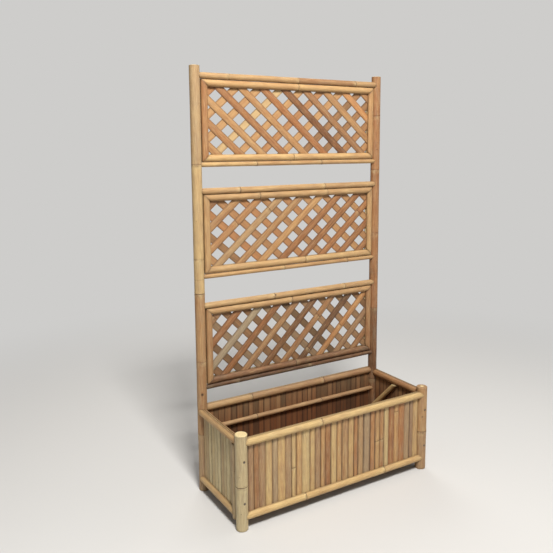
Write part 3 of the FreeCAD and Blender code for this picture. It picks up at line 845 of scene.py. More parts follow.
class PLANTER_OT_rails(Step, bpy.types.Operator):
    """Make the outer and inner half culms of the box walls"""

    bl_idname = "planter.rails"
    bl_label = "Wall rails"

    def execute(self, context):
        for wall, (_, _, _, top_z) in WALLS.items():
            for level, z in (("top", top_z), ("bottom", BOTTOM_RAIL_Z)):
                self.rail(wall, level, z, "outer", 1)
                self.rail(wall, level, z, "inner", -1)
        return {"FINISHED"}

    def rail(self, wall, level, z, layer, way):
        """One half culm; an inner one is turned about, so its ends and joints swap sides."""
        turn, middle, half_span, _ = WALLS[wall]
        # in the half culm's own frame the flat back is a = 0, and outwards is -a
        posts = sorted((way * sign, WALL_SLAT_T / 2 + way * inward, radius + SEAT)
                       for sign, (inward, radius) in zip((-1, 1), WALL_POSTS[wall]))
        ends = [coped(sign, half_span, offset, reach) for sign, offset, reach in posts]
        if wall in ("left", "right") and level == "bottom":
            # this end is hollowed to the corner pole instead of the post
            sign = -way if wall == "right" else way
            ends[sign > 0] = coped(sign, SIDE_MID_Y - CORNER_POLE_Y, WALL_SLAT_T / 2, CORNER_POLE_R + SEAT, 0.0)
        tones, warmth = RAIL_TONES[f"{wall}_{level}"]
        name = f"{wall}_{level}_rail_{layer}_half"
        place = lying(*middle, z, turn + 90 * (1 - way)) @ Matrix.Translation((0, -WALL_SLAT_T / 2 * MM, 0))
        # an inner half is painted darker than its outer half, as the shade inside the box
        mesh = self.culm(name, place, RAIL_R, ends, half=True, sides=26, warmth=warmth,
                         joints=[way * at for at in RAIL_JOINTS.get(f"{wall}_{level}", ())],
                         tones=tones if way > 0 else [tone - INNER_SHADE for tone in tones[::-1]])
        show(name, "culm", mesh, "rail_half_culm")


class PLANTER_OT_poles(Step, bpy.types.Operator):
    """Make the round poles of the box and the trellis"""

    bl_idname = "planter.poles"
    bl_label = "Poles"

    def execute(self, context):
        self.trellis_poles()
        self.box_poles()
        self.braces()
        return {"FINISHED"}

    def pole(self, name, radius, ends, place, **look):
        """One round pole."""
        show(name, "culm", self.culm(name, place, radius, ends, **look), "pole_culm")

    def trellis_poles(self):
        """A thick pole over each panel and a thin one under it."""
        looks = {
            "upper_panel_upper_pole": dict(joints=(-330.0, 20.0, 340.0), tones=(0.46, 0.48, 0.34, 0.44), warmth=-0.08,
                                           faint=(-330.0, 20.0)),
            "upper_panel_lower_pole": dict(joints=(-200.0, 145.0), tones=(0.56, 0.46, 0.48), warmth=0.02),
            "middle_panel_upper_pole": dict(joints=(-285.0, 165.0), tones=(0.47, 0.49, 0.45), warmth=-0.08),
            "middle_panel_lower_pole": dict(joints=(-60.0, 300.0), tones=(0.48, 0.46, 0.46), warmth=0.02),
            "lower_panel_upper_pole": dict(joints=(-116.0, 285.0), tones=(0.50, 0.48, 0.46), warmth=-0.10,
                                           knots=((-110.0, 2.6, 6.0),)),
            "lower_panel_lower_pole": dict(joints=(-300.0, 90.0), tones=(0.03, 0.0, 0.04),
                                           faint=(-300.0, 90.0)),
        }
        for name, look in looks.items():
            middle_z = PANELS[name.split("_")[0]][0]
            upper = name.endswith("upper_pole")
            radius = POLE_R if upper else LOWER_POLE_R
            # the skin is shaved flat where it lies against the panel
            flat = radius - POLE_SHAVE
            rise = PANEL_H / 2 + flat
            limits = (-flat, FAR) if upper else (-FAR, flat)
            ends = [coped(sign, POST_X, POLE_FORWARD, REAR_R + SEAT, POLE_STOP) for sign in (-1, 1)]
            place = lying(0, REAR_Y - POLE_FORWARD, middle_z + rise if upper else middle_z - rise)
            self.pole(name, radius, ends, place, limits=limits, **look)

    def box_poles(self):
        """The poles inside the box, at its rear corners and along its rear wall."""
        top = SIDE_RAIL_Z - RAIL_HALF_H - SEAT - CORNER_POLE_FOOT_Z
        for side, sign in (("left", -1), ("right", 1)):
            place = standing(sign * SIDE_WALL_X, CORNER_POLE_Y, CORNER_POLE_FOOT_Z)
            self.pole(f"{side}_corner_pole", CORNER_POLE_R, (0.0, top), place, joints=(205.0,), faint=(205.0,),
                      tones=(0.64, 0.60), warmth=-0.55)
        y = REAR_WALL_Y - WALL_SLAT_T / 2 - MID_RAIL_R - SEAT
        ends = [coped(sign, POST_X, REAR_Y - y, REAR_R + SEAT) for sign in (-1, 1)]
        self.pole("rear_mid_rail", MID_RAIL_R, ends, lying(0, y, MID_RAIL_Z), joints=(-214.0, 148.0),
                  tones=(0.38, 0.36, 0.34), warmth=-0.20)

    def braces(self):
        """Slanting braces from the rear posts up to the side rails."""
        ceiling = SIDE_RAIL_Z - RAIL_HALF_H - SEAT
        lean = math.sqrt(0.5)
        for side, sign in (("left", -1), ("right", 1)):
            x = sign * (SIDE_WALL_X - WALL_SLAT_T / 2 - BRACE_R - SEAT)
            foot_y = REAR_Y - REAR_R

            def foot(a, b, x=x, sign=sign):
                beside = np.minimum(np.abs(x + a - sign * POST_X), REAR_R)
                skin = REAR_Y - np.sqrt((REAR_R + SEAT) ** 2 - beside ** 2)
                return b - (skin - foot_y) / lean

            def head(a, b):
                return (ceiling - BRACE_FOOT_Z) / lean - b

            axes = Matrix(((0, 1, 0, 0), (-lean, 0, lean, 0), (lean, 0, lean, 0), (0, 0, 0, 1)))
            place = Matrix.Translation(Vector((x, foot_y, BRACE_FOOT_Z)) * MM) @ axes
            self.pole(f"{side}_knee_brace", BRACE_R, (foot, head), place, tones=(0.62,))


# joints of the frames' top and bottom members, tones along the four members, and warmth
FRAME_JOINTS = {
    "upper": ((18.0,), (-2.0,)),
    "middle": ((-185.0, 180.0), (60.0,)),
    "lower": ((-20.0,), (5.0,)),
}
FRAME_TONES = {
    "upper": {"top_rail": (0.52, 0.56), "bottom_rail": (0.62, 0.58), "left_stile": 0.32, "right_stile": 0.44},
    "middle": {"top_rail": (0.45, 0.49, 0.47), "bottom_rail": (0.52, 0.54), "left_stile": 0.46, "right_stile": 0.50},
    "lower": {"top_rail": (0.48, 0.44), "bottom_rail": (0.12, 0.10), "left_stile": 0.36, "right_stile": 0.30},
}
FRAME_WARMTH = {"upper": 0.10, "middle": -0.06, "lower": -0.06}


class PLANTER_OT_frames(Step, bpy.types.Operator):
    """Make the mitred half culm frames of the three panels, front and back"""

    bl_idname = "planter.frames"
    bl_label = "Panel frames"

    def execute(self, context):
        for panel in PANELS:
            backs = []
            for part in ("top_rail", "bottom_rail", "left_stile", "right_stile"):
                show(f"{panel}_panel_front_{part}", "culm", self.member(panel, part, back=False), "frame_half_culm")
                backs.append(self.member(panel, part, back=True))
            name = f"{panel}_panel_back_frame"
            show(name, "culms", joined(name, backs), "frame_half_culm")
        return {"FINISHED"}

    def member(self, panel, part, back):
        """One half culm of a frame; the bottom one is turned over, so its joints and tones swap sides."""
        top_joints, bottom_joints = FRAME_JOINTS[panel]
        tones = FRAME_TONES[panel][part]
        up, out = (PANEL_H - FRAME_FACE) / 2, (FRAME_W - FRAME_FACE) / 2
        x, z, about_y, length, joints, tones = {
            "top_rail": (0, up, 0, FRAME_W, top_joints, tones),
            "bottom_rail": (0, -up, 180, FRAME_W, [-at for at in bottom_joints], np.flip(tones)),
            "left_stile": (-out, 0, -90, PANEL_H, (), tones),
            "right_stile": (out, 0, 90, PANEL_H, (), tones),
        }[part]
        place = lying(0, REAR_Y, PANELS[panel][0], 180 if back else 0) @ lying(x, -LATTICE_T, z, 0, about_y)
        return self.culm(f"{panel}_{part}_{'back' if back else 'front'}", place, FRAME_R,
                         [mitre(sign, length / 2, FRAME_FACE / 2) for sign in (-1, 1)], joints=joints, half=True,
                         sides=24, tones=tones, warmth=FRAME_WARMTH[panel],
                         limits=(-FRAME_FACE / 2 - 1.4, FRAME_FACE / 2 + 0.2))


def joined(name, meshes):
    """Several meshes made one."""
    holders = [bpy.data.objects.new(m.name, m) for m in meshes]
    for holder in holders:
        bpy.context.scene.collection.objects.link(holder)
    with bpy.context.temp_override(active_object=holders[0], selected_editable_objects=holders):
        bpy.ops.object.join()
    mesh = holders[0].data
    bpy.data.objects.remove(holders[0])
    mesh.name = name
    return mesh


# ============================================================== split pieces
def unit_split(net, edge, segments):
    """A split one unit wide, thick and long: flat back at y = 0, crowned skin to -Y.

    It is stored with 'across' from -0.5 to 0.5, 'along' from 0 to 1, and 'cut' on its sawn faces."""
    rod = net.outs("GeometryNodeMeshCylinder", {"Vertices": 16, "Side Segments": segments, "Radius": 1.0, "Depth": 1.0},
                   fill_type="NGON")
    px, py, pz = net.place()
    angle = net.calc("ARCTAN2", py, px) + math.pi / 16
    x = net.calc("COSINE", angle) * (0.5 / math.cos(math.pi / 16))
    skin = (1.0 - edge) * (1.0 - x * x * 4.0) + edge
    front = net.calc("SINE", angle) < 0.0
    shaped = net.moved(rod["Mesh"], net.vector(x, -skin * front, pz))
    sawn = rod["Top"] | rod["Bottom"] | (edge * -0.95 < net.place()[1])
    out = net.store(shaped, "cut", sawn, domain="FACE")
    across, _, along = net.place()
    return net.store(net.store(out, "across", across), "along", along + 0.5)


def raw_splits(net, points, takes):
    """One unit split at the origin for each point, with the point's own marks and luck."""
    luck = net.out("FunctionNodeRandomValue", {"Seed": takes["Seed"]}, 1, data_type="FLOAT")
    held = net.moved(net.store(points, "chance", luck), (0.0, 0.0, 0.0))
    split = unit_split(net, takes["Edge share"], takes["Segments"])
    each = net.out("GeometryNodeInstanceOnPoints", {"Points": held, "Instance": split})
    return net.out("GeometryNodeRealizeInstances", {"Geometry": each})


def wandered(net, along, across, reach):
    """A slow sideways and forward stray that differs for each split."""
    where = net.vector(along * 7.0, across * 9.0, net.named("chance") * 53.0)
    drift = net.out("ShaderNodeTexNoise", {"Vector": where, "Scale": 1.0, "Detail": 1.0}, 1)
    wires = {0: net.vcalc("SUBTRACT", drift, (0.5, 0.5, 0.5)), "Scale": reach}
    return net.out("ShaderNodeVectorMath", wires, operation="SCALE").parts()


def thickness(net, takes, along, depth, share, stray):
    """How far a point stands forward: the split's thickness with a ring at its joint, and its stray."""
    ring = (along - net.named("joint at")) / SPLIT_JOINT
    ring = net.calc("EXPONENT", -(ring * ring)) * SPLIT_RING
    return depth * (takes["Thickness"] * (ring + share) - stray)


def give_splits(net, takes, splits, spot, along, across):
    """The splits at their places, with grain, seams and joints, smooth and with their finish."""
    luck = net.named("chance")
    out = net.moved(splits, spot)
    out = net.store(out, "grain", net.vector(along + luck * 37.0, across + luck, luck), "FLOAT_VECTOR")
    # painted shade along each split's edges, for the shade in the gaps between neighbours
    out = net.store(out, "seam", abs(net.named("across")).ranged(0.38, 0.46) * net.named("gap"))
    out = net.store(out, "joint", along - net.named("joint at"))
    give_coated(net, takes, net.out("GeometryNodeSetShadeSmooth", {"Geometry": out}))


def give_coated(net, takes, geometry):
    """Lead the geometry out with its finish."""
    net.give({"Geometry": net.out("GeometryNodeSetMaterial", {"Geometry": geometry, "Material": takes["Material"]})})


def row_tree():
    """Geometry nodes for a row of upright splits, each as wide as its point says."""
    net, takes = new_net("Split row", "GeometryNodeTree", {
        "Geometry": "Geometry", "Length": 0.3, "Thickness": 0.006, "Edge share": 0.43, "Lip": 1.0, "Wander": 0.001,
        "Segments": 14, "Seed": 1, "Material": "Material"}, ("Geometry",))
    points = net.store(takes["Geometry"], "stand", net.out("GeometryNodeInputPosition"), "FLOAT_VECTOR")
    splits = raw_splits(net, points, takes)
    across = net.named("across") * net.named("wide")
    along = net.named("along") * takes["Length"]
    side, forward, _ = wandered(net, along, across, takes["Wander"])
    # the outermost edges drop to a thin lip, so neighbours meet in a groove
    lip = abs(net.named("across")).ranged(0.40, 0.49, 1.0, takes["Lip"])
    # the back stays flat on its plane, so only the skin strays
    y = thickness(net, takes, along, net.place()[1] * lip, 0.93, forward)
    spot = net.vcalc("ADD", net.named("stand", "FLOAT_VECTOR"), net.vector(across + side, y, along))
    give_splits(net, takes, splits, spot, along, across)
    return net.tree


def run_in_room(net, origins, run, halves):
    """Where a line enters and leaves the frame's room, measured along the line."""
    lows, highs = [], []
    for origin, direction, half in zip(origins, run, halves):
        first, second = (-half - origin) / direction, (half - origin) / direction
        lows.append(net.calc("MINIMUM", first, second))
        highs.append(net.calc("MAXIMUM", first, second))
    return net.calc("MAXIMUM", *lows), net.calc("MINIMUM", *highs)


def lattice_tree():
    """Geometry nodes for one lattice layer: sloping splits trimmed to the frame's room."""
    net, takes = new_net("Lattice layer", "GeometryNodeTree", {
        "Geometry": "Geometry", "Slope": 0.75, "Climb": 1.0, "Pitch": 0.0724, "First X": 0.0, "First Z": 0.0,
        "Half width": 0.45, "Half height": 0.165, "Width": 0.028, "Thickness": 0.005, "Edge share": 0.48,
        "Fullness": 1.0, "Shortest": 0.03, "Wander": 0.001, "Segments": 24, "Seed": 1, "Material": "Material"},
        ("Geometry",))
    run = (net.calc("COSINE", takes["Slope"]) * takes["Climb"], net.calc("SINE", takes["Slope"]))
    side = (run[1], -run[0])
    halves = (takes["Half width"], takes["Half height"])
    start = (net.named("place") * (takes["Pitch"] / run[1]) + takes["First X"], takes["First Z"])

    def reach(across):
        origins = [across * sideways + first for sideways, first in zip(side, start)]
        return origins, run_in_room(net, origins, run, halves)

    # a split is left out where either of its edges misses the room
    short = []
    for share in (0.5, -0.5):
        _, (low, high) = reach(takes["Width"] * share)
        short.append(high - low < takes["Shortest"])
    kept = net.out("GeometryNodeDeleteGeometry", {"Geometry": takes["Geometry"], "Selection": short[0] | short[1]},
                   domain="POINT")
    splits = raw_splits(net, kept, takes)
    across = net.named("across") * (takes["Width"] * (net.named("chance") * 0.08 + takes["Fullness"]))
    origins, (low, high) = reach(across)
    along = net.named("along") * (net.calc("MAXIMUM", high, low + 0.001) - low) + low
    off, forward, _ = wandered(net, along, across, takes["Wander"])
    # nothing leaves the room between the frames
    x, z = (net.calc("MAXIMUM", net.calc("MINIMUM", along * ahead + origin + off * sideways, half), -half)
            for ahead, sideways, origin, half in zip(run, side, origins, halves))
    y = thickness(net, takes, along, net.place()[1], 0.90, forward)
    give_splits(net, takes, splits, net.vector(x, y, z), along, across)
    return net.tree


def grown(name, tree, points, values, place=Matrix.Identity(4)):
    """The plain mesh that a tree makes from marked points, carried to its place."""
    mesh = bpy.data.meshes.new(name)
    mesh.from_pydata([point.pop("at") for point in points], [], [])
    for key in points[0]:
        mark(mesh, key, [point[key] for point in points])
    holder = bpy.data.objects.new(name, mesh)
    bpy.context.scene.collection.objects.link(holder)
    modifier = holder.modifiers.new("Making", "NODES")
    modifier.node_group = tree
    sockets = {s.name: s.identifier for s in tree.interface.items_tree if s.in_out == "INPUT"}
    for key, value in values.items():
        modifier[sockets[key]] = value
    graph = bpy.context.evaluated_depsgraph_get()
    made = bpy.data.meshes.new_from_object(holder.evaluated_get(graph), preserve_all_data_layers=True, depsgraph=graph)
    holder.modifiers.clear()
    bpy.data.objects.remove(holder)
    bpy.data.meshes.remove(mesh)
    made.name = name
    made.transform(place)
    made.set_sharp_from_angle(angle=math.radians(38))
    return made


def slat_widths(run):
    """The widths of the splits that fill a run of wall, as in the part's source."""
    mean = sum(SLAT_WIDTHS) / len(SLAT_WIDTHS)
    count = max(1, round(run / (mean + SLAT_GAP)))
    widths = [SLAT_WIDTHS[i % len(SLAT_WIDTHS)] for i in range(count)]
    fit = (run - SLAT_GAP * (count - 1)) / sum(widths)
    return [w * fit for w in widths]


def slat_span(wall):
    """Where one wall's splits start and end along it, clear of posts and poles."""
    if wall in ("front", "rear"):
        inward, radius = WALL_POSTS[wall][0]
        reach = math.sqrt(radius ** 2 - inward ** 2)
        return -POST_X + reach + SLAT_POST_GAP, POST_X - reach - SLAT_POST_GAP
    rear_reach = math.sqrt(REAR_R ** 2 - (SIDE_WALL_X - POST_X) ** 2)
    start = CORNER_POLE_Y + CORNER_POLE_R + SLAT_POST_GAP - SIDE_MID_Y
    end = REAR_Y - rear_reach - SLAT_POST_GAP - SIDE_MID_Y
    return (start, end) if wall == "right" else (-end, -start)


# tone and warmth that a row's splits are drawn from, never the same twice running; the rear and right rows are dark
# partly from their own colour and grime, partly as painted shade inside the box
WALL_TONES_AND_SHADE = {
    "front": ((0.54, 0.06), (0.76, -0.15), (0.40, 0.06), (0.50, -0.45), (0.62, 0.06), (0.48, -0.15), (0.84, -0.25),
              (0.30, 0.0), (0.68, -0.05), (0.46, 0.14), (0.38, -0.30)),
    "right": ((0.34, -0.1), (0.26, -0.1), (0.40, -0.1), (0.22, 0.0)),
    "rear": ((0.08, 0.0), (0.20, 0.0), (0.0, 0.0), (0.26, -0.10), (0.12, 0.08), (0.02, 0.0)),
    "left": ((0.86, -0.40), (0.96, -0.34), (0.70, -0.46), (1.0, -0.36), (0.56, -0.38)),
    "floor": ((0.40, -0.1), (0.34, 0.0), (0.46, -0.1)),
}
# how dark the painted shade in the line beside a split may be, and how much darker the row is painted along the wall as
# the light falls off towards one end (lighter along it where negative)
WALL_GAPS = {"left": (0.15, 0.25, 0.4, 1.0)}
WALL_SHADE_FALL = {"front": 0.14, "rear": -0.06}
# the wall's splits are thin at their lips, and stray less than the floor's
WALL_LIP = 0.25
WALL_WANDER = 0.4
# how many splits show a joint, and where the joint of the others is put, out of reach
NO_JOINT = -9.0
JOINT_CHANCE = {"row": 0.14, "lattice": 0.3}


class PLANTER_OT_slats(Step, bpy.types.Operator):
    """Make the upright splits of the walls and the floor with geometry nodes"""

    bl_idname = "planter.slats"
    bl_label = "Wall and floor splits"

    def execute(self, context):
        tree = row_tree()
        for index, (wall, (turn, middle, _, top_z)) in enumerate(WALLS.items()):
            low = BOTTOM_RAIL_Z - RAIL_HALF_H + SLAT_END_COVER
            high = top_z + RAIL_HALF_H - SLAT_END_COVER
            start, end = slat_span(wall)
            points = self.row(wall, start, slat_widths(end - start), SLAT_GAP, low, high - low)
            place = lying(*middle, 0, turn) @ Matrix.Translation((0, WALL_SLAT_T / 2 * MM, 0))
            self.splits(f"{wall}_wall_slats", tree, points, place, "wall_split", high - low, WALL_SLAT_T, WALL_LIP,
                        WALL_WANDER, index)
        self.floor(tree)
        return {"FINISHED"}

    def splits(self, name, tree, points, place, slot, length, thick, lip, wander, luck):
        """Grow one row and show it."""
        values = {"Length": length * MM, "Thickness": thick * MM, "Edge share": SLAT_EDGE_T / thick, "Lip": lip,
                  "Wander": wander * self.sizes.slat_wander, "Segments": 40, "Seed": self.sizes.seed + luck,
                  "Material": bpy.data.materials[SLOT_FINISH[slot]]}
        show(name, "splits", grown(name, tree, points, values, place), slot)

    def row(self, name, start, widths, gap, low, length):
        """The points of a row, one for each split, with its width, joint, depth of painted shade in its gap, and tone
        and warmth.
        """
        rng = random.Random(self.seed(name))
        tones_and_shades = WALL_TONES_AND_SHADE[name]
        points, x, last = [], start, None
        # painted shade: the row darkens along the wall, as the light falls off towards one end
        shade_fall = WALL_SHADE_FALL.get(name, 0.0)
        for wide in widths:
            dye = rng.choice([d for d in tones_and_shades if d != last])
            last = dye
            # the wall's splits touch, so that no light passes; the floor's stand apart
            points.append({
                "at": ((x + wide / 2) * MM, 0.0, low * MM),
                "wide": (wide + (SLAT_GAP if name in WALLS else 0.0)) * MM,
                "joint at": rng.uniform(0.12, 0.88) * length * MM if rng.random() < JOINT_CHANCE["row"] else NO_JOINT,
                "gap": rng.choice(WALL_GAPS.get(name, (0.25, 0.6, 1.0, 1.0))),
                "dye": (dye[0] + rng.uniform(-0.05, 0.05) - shade_fall * len(points) / len(widths),
                        dye[1] + rng.uniform(-0.08, 0.08), 0.0),
            })
            x += wide + gap
        return points

    def floor(self, tree):
        """The floor's splits, laid down along Y with their crowns up."""
        inner_x = SIDE_WALL_X - WALL_SLAT_T / 2 - RAIL_BULGE - FLOOR_SIDE_GAP
        length = REAR_WALL_Y - FRONT_WALL_Y - WALL_SLAT_T - 2 * SEAT
        rest_z = BOTTOM_RAIL_Z + RAIL_HALF_H + SEAT
        count = int((2 * inner_x + FLOOR_GAP) // (FLOOR_SLAT_W + FLOOR_GAP))
        pitch = (2 * inner_x - FLOOR_SLAT_W) / (count - 1)
        points = self.row("floor", -inner_x, [FLOOR_SLAT_W] * count, pitch - FLOOR_SLAT_W, 0.0, length)
        place = (Matrix.Translation(Vector((0, (REAR_WALL_Y + FRONT_WALL_Y - length) / 2, rest_z)) * MM)
                 @ Matrix.Rotation(math.radians(-90), 4, "X"))
        self.splits("floor_slats", tree, points, place, "floor_split", length, FLOOR_SLAT_T, 1.0, 1.0, 9)


# tone and warmth that a panel's splits are drawn from, and how much darker its back layer is painted, as the shade
# behind the front layer
LATTICE_DYES = {
    "upper": ((0.34, 0.18), (0.30, 0.16), (0.38, 0.10), (0.28, 0.22), (0.41, 0.12), (0.25, 0.12)),
    "middle": ((0.33, 0.10), (0.24, 0.12), (0.38, 0.02), (0.28, 0.22), (0.21, 0.04)),
    "lower": ((0.30, -0.05), (0.22, 0.10), (0.34, -0.15), (0.17, 0.06), (0.27, -0.22), (0.24, 0.14)),
}
BACK_SHADE = {"upper": 0.05, "middle": 0.10, "lower": 0.20}
# single splits that stand out: place from the middle one seen from the layer's own face, tone, warmth
LATTICE_ODD = {
    "upper front": {1: (0.08, 0.12), 2: (0.24, -0.06), 4: (0.52, 0.50)},
    "upper back": {2: (0.60, -0.20), -2: (0.18, 0.06), -3: (0.20, 0.05)},
    "middle front": {-2: (0.42, -0.20), 1: (0.22, 0.10), 0: (0.46, 0.16)},
    "lower front": {-3: (0.44, -0.75), 0: (0.14, 0.0), 2: (0.06, -0.05), 3: (0.42, 0.30)},
}


class PLANTER_OT_lattice(Step, bpy.types.Operator):
    """Make the two crossed lattice layers of each panel with geometry nodes"""

    bl_idname = "planter.lattice"
    bl_label = "Lattice"

    def execute(self, context):
        tree = lattice_tree()
        for index, (panel, (middle_z, slope, first, climb)) in enumerate(PANELS.items()):
            for layer in ("front", "back"):
                name = f"{panel}_panel_{layer}_lattice"
                back = layer == "back"
                values = {
                    "Slope": math.radians(slope), "Climb": float(climb), "Pitch": LATTICE_PITCH * MM,
                    "First X": (-first[0] if back else first[0]) * MM, "First Z": first[1] * MM,
                    "Half width": (FRAME_W / 2 - LATTICE_INSET) * MM, "Half height": (PANEL_H / 2 - LATTICE_INSET) * MM,
                    "Width": LATTICE_W * MM, "Thickness": LATTICE_T * MM, "Edge share": LATTICE_EDGE_T / LATTICE_T,
                    "Fullness": 1.16, "Shortest": 2.0 * MM, "Wander": self.sizes.slat_wander, "Segments": 30,
                    "Seed": self.sizes.seed + 20 + index * 2 + back, "Material": bpy.data.materials["lattice split"],
                }
                place = lying(0, REAR_Y, middle_z, 180 if back else 0)
                show(name, "splits", grown(name, tree, self.points(panel, layer), values, place), "lattice_split")
        return {"FINISHED"}

    def points(self, panel, layer):
        """The points of one layer, one for each split, with its place, joint, edge shade and tone; the back layer's
        tone is darkened as painted shade.
        """
        rng = random.Random(self.seed(panel + layer))
        tones_and_shades, odd = LATTICE_DYES[panel], LATTICE_ODD.get(f"{panel} {layer}", {})
        last, points = None, []
        for place in range(-12, 13):
            dye = rng.choice([d for d in tones_and_shades if d != last])
            last = dye
            tone, warmth = odd.get(place, (dye[0] + rng.uniform(-0.04, 0.04), dye[1] + rng.uniform(-0.06, 0.06)))
            # painted shade: the back layer is darker, as it lies in the front layer's shade
            if layer == "back":
                tone -= BACK_SHADE[panel]
            joint = rng.uniform(-0.18, 0.18) if rng.random() < JOINT_CHANCE["lattice"] else NO_JOINT
            points.append({"at": (place * 0.05, 0.0, 0.0), "place": float(place), "joint at": joint, "gap": 0.8,
                           "dye": (tone, warmth, 0.0)})
        return points


def screw_tree():
    """Geometry nodes that set one screw at each point, turned by luck."""
    net, takes = new_net("Screws", "GeometryNodeTree", {
        "Geometry": "Geometry", "Screw": "Object", "Seed": 1, "Material": "Material"}, ("Geometry",))
    source = net.out("GeometryNodeObjectInfo", {"Object": takes["Screw"]}, "Geometry", transform_space="ORIGINAL")
    turn = net.out("FunctionNodeRandomValue", {"Seed": takes["Seed"]}, 1, data_type="FLOAT") * math.tau
    wires = {"Points": takes["Geometry"], "Instance": source, "Rotation": net.vector(0.0, turn, 0.0)}
    each = net.out("GeometryNodeInstanceOnPoints", wires)
    give_coated(net, takes, net.out("GeometryNodeRealizeInstances", {"Geometry": each}))
    return net.tree


def screw_mesh():
    """A pan of a countersunk screw head with a cross recess, facing -Y, and its shank."""
    sides = 40
    # radius and depth of each ring
    profile = ((1.2, 0.35), (2.2, 0.12), (3.4, 0.05), (4.6, 0.25), (5.0, 0.6), (4.8, 1.0), (2.5, 3.2), (2.5, 60.0))
    verts, faces = [(0.0, 1.5, 0.0)], []
    for radius, depth in profile:
        for k in range(sides):
            t = k * math.tau / sides
            # the recess is a cross that is deep near the axis
            arm = max(abs(math.cos(t)), abs(math.sin(t)))
            sunk = 1.3 if radius < 3.0 and arm > 0.97 else (0.4 if radius < 1.5 else 0.0)
            verts.append((radius * math.cos(t), depth + sunk, radius * math.sin(t)))
    for k in range(sides):
        faces.append((0, 1 + k, 1 + (k + 1) % sides))
    last = len(profile) - 1
    for row in range(last):
        for k in range(sides):
            a, b = 1 + row * sides + k, 1 + row * sides + (k + 1) % sides
            faces.append((a, a + sides, b + sides, b))
    faces.append(tuple(1 + last * sides + k for k in reversed(range(sides))))
    mesh = bpy.data.meshes.new("screw")
    mesh.from_pydata([(x * MM, y * MM, z * MM) for x, y, z in verts], [], faces)
    mesh.update()
    return mesh


class PLANTER_OT_screws(Step, bpy.types.Operator):
    """Set the screws in the front posts with geometry nodes"""

    bl_idname = "planter.screws"
    bl_label = "Post screws"

    def execute(self, context):
        source = bpy.data.objects.new("screw source", screw_mesh())
        bpy.context.scene.collection.objects.link(source)
        points = [{"at": (x * MM, (-DEPTH / 2 + 0.1) * MM, z * MM)} for x in (-POST_X, POST_X) for z in SCREW_Z]
        values = {"Screw": source, "Seed": self.sizes.seed, "Material": bpy.data.materials["screw steel"]}
        mesh = grown("post_screws", screw_tree(), points, values)
        bpy.data.objects.remove(source)
        show("post_screws", "heads", mesh, "screw_steel")
        return {"FINISHED"}


# ===================================================================== studio
# the photographed view, fitted to the posts' tops and feet
CAMERA_AT = (-1.58219, -2.29712, 1.51057)
CAMERA_TURN = 31.009
CAMERA_PITCH = 7.946
CAMERA_ROLL = -0.419
FOCAL_PIXELS = 641.0
FRAME_PIXELS = 553.0
SHIFT_Y = -0.07
# each lamp's place, the height it is turned to, its size and its power
LAMPS = {
    "key": ((-1.0, -2.5, 4.4), 0.75, 0.9, 285.0),
    "side": ((3.8, -1.2, 2.6), 0.8, 2.6, 30.0),
    "rear": ((1.5, 3.8, 3.6), 0.9, 2.6, 70.0),
}
ROOM_LIGHT = 0.24
# how far off the floor starts to pass into the backdrop, and where it has
BACKDROP = (1.3, 3.6)


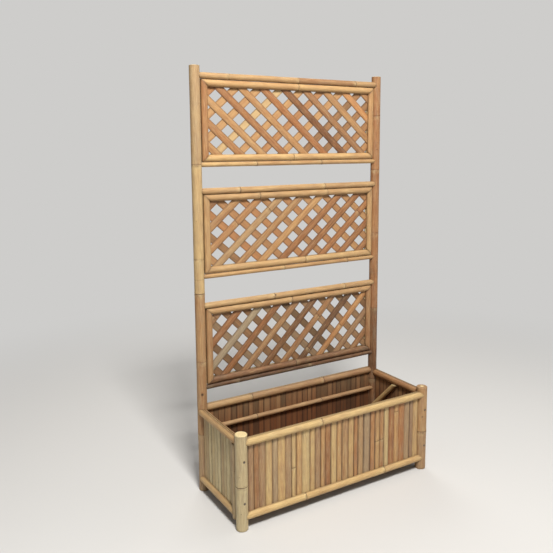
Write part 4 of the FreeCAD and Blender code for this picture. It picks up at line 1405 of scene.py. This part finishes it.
class PLANTER_OT_studio(Step, bpy.types.Operator):
    """Set the floor, the lamps, the world and the camera"""

    bl_idname = "planter.studio"
    bl_label = "Studio"

    def execute(self, context):
        scene = bpy.context.scene
        scene.view_settings.view_transform = "Standard"
        self.floor()
        self.world(scene)
        for name, values in LAMPS.items():
            self.lamp(name, *values)
        self.camera(scene)
        return {"FINISHED"}

    def floor(self):
        """A wide floor that casts back light like the backdrop."""
        half = self.sizes.floor_size / 2
        mesh = bpy.data.meshes.new("floor")
        mesh.from_pydata([(-half, -half, 0), (half, -half, 0), (half, half, 0), (-half, half, 0)], [], [(0, 1, 2, 3)])
        piece = bpy.data.objects.new("studio_floor", mesh)
        bpy.context.scene.collection.objects.link(piece)
        net, shader = new_material("studio floor")
        net.wire(shader, {"Base Color": self.colours.floor, "Roughness": 0.9, "Specular IOR Level": 0.1})
        # far off, the floor passes into the backdrop
        far = net.vcalc("LENGTH", net.out("ShaderNodeTexCoord", which="Object"), which=1).ranged(*BACKDROP, smooth=True)
        seen = net.out("ShaderNodeLightPath", which="Is Camera Ray")
        glow = net.out("ShaderNodeEmission", {"Color": self.colours.floor})
        both = net.out("ShaderNodeMixShader", {0: far * seen, 1: Wire(net, shader.outputs[0]), 2: glow})
        net.wire(net.tree.nodes["Material Output"], {"Surface": both})
        mesh.materials.append(bpy.data.materials["studio floor"])

    def world(self, scene):
        """A soft warm light, seen by the camera as the floor's colour."""
        world = bpy.data.worlds.new("studio")
        world.use_nodes = True
        scene.world = world
        net = Net(world.node_tree)
        net.tree.nodes.clear()
        seen = net.out("ShaderNodeLightPath", which="Is Camera Ray")
        room = net.out("ShaderNodeBackground", {"Color": (1.0, 0.985, 0.96, 1.0), "Strength": ROOM_LIGHT})
        backdrop = net.out("ShaderNodeBackground", {"Color": self.colours.floor, "Strength": 1.0})
        net.put("ShaderNodeOutputWorld", {0: net.out("ShaderNodeMixShader", {0: seen, 1: room, 2: backdrop})})

    def lamp(self, name, at, height, size, power):
        """One square lamp turned to the planter's middle line."""
        light = bpy.data.lights.new(name, "AREA")
        light.size = size
        light.energy = power
        light.color = (1.0, 0.98, 0.95)
        lamp = bpy.data.objects.new(name, light)
        bpy.context.scene.collection.objects.link(lamp)
        lamp.location = at
        lamp.rotation_euler = (Vector((0.0, 0.0, height)) - Vector(at)).to_track_quat("-Z", "Y").to_euler()

    def camera(self, scene):
        """The photographed view."""
        turn, pitch, roll = (math.radians(v) for v in (CAMERA_TURN, CAMERA_PITCH, CAMERA_ROLL))
        view = Vector((math.sin(turn) * math.cos(pitch), math.cos(turn) * math.cos(pitch), -math.sin(pitch)))
        level = Vector((math.cos(turn), -math.sin(turn), 0.0))
        upward = level.cross(view)
        right = level * math.cos(roll) + upward * math.sin(roll)
        up = upward * math.cos(roll) - level * math.sin(roll)
        data = bpy.data.cameras.new("camera")
        data.sensor_width = 36.0
        data.lens = FOCAL_PIXELS / FRAME_PIXELS * data.sensor_width
        data.shift_y = SHIFT_Y
        camera = bpy.data.objects.new("camera", data)
        scene.collection.objects.link(camera)
        axes = Matrix((right, up, -view)).transposed().to_4x4()
        camera.matrix_world = Matrix.Translation(CAMERA_AT) @ axes
        scene.camera = camera


STEPS = (
    PLANTER_OT_finishes, PLANTER_OT_posts, PLANTER_OT_rails, PLANTER_OT_poles, PLANTER_OT_frames, PLANTER_OT_slats,
    PLANTER_OT_lattice, PLANTER_OT_screws, PLANTER_OT_studio,
)


class PLANTER_PT_panel(bpy.types.Panel):
    """The planter's steps in the sidebar"""

    bl_idname = "PLANTER_PT_panel"
    bl_label = "Planter with trellis"
    bl_space_type = "VIEW_3D"
    bl_region_type = "UI"
    bl_category = "Planter"

    def draw(self, context):
        for step in STEPS:
            self.layout.operator(step.bl_idname)


CLASSES = (PlanterSizes, PlanterColours, *STEPS, PLANTER_PT_panel)


def register():
    for item in CLASSES:
        bpy.utils.register_class(item)
    bpy.types.Scene.planter_sizes = PointerProperty(type=PlanterSizes)
    bpy.types.Scene.planter_colours = PointerProperty(type=PlanterColours)


def unregister():
    del bpy.types.Scene.planter_colours
    del bpy.types.Scene.planter_sizes
    for item in reversed(CLASSES):
        bpy.utils.unregister_class(item)


def main():
    register()
    for step in STEPS:
        getattr(bpy.ops.planter, step.bl_idname.split(".")[1])()


if __name__ == "__main__":
    main()
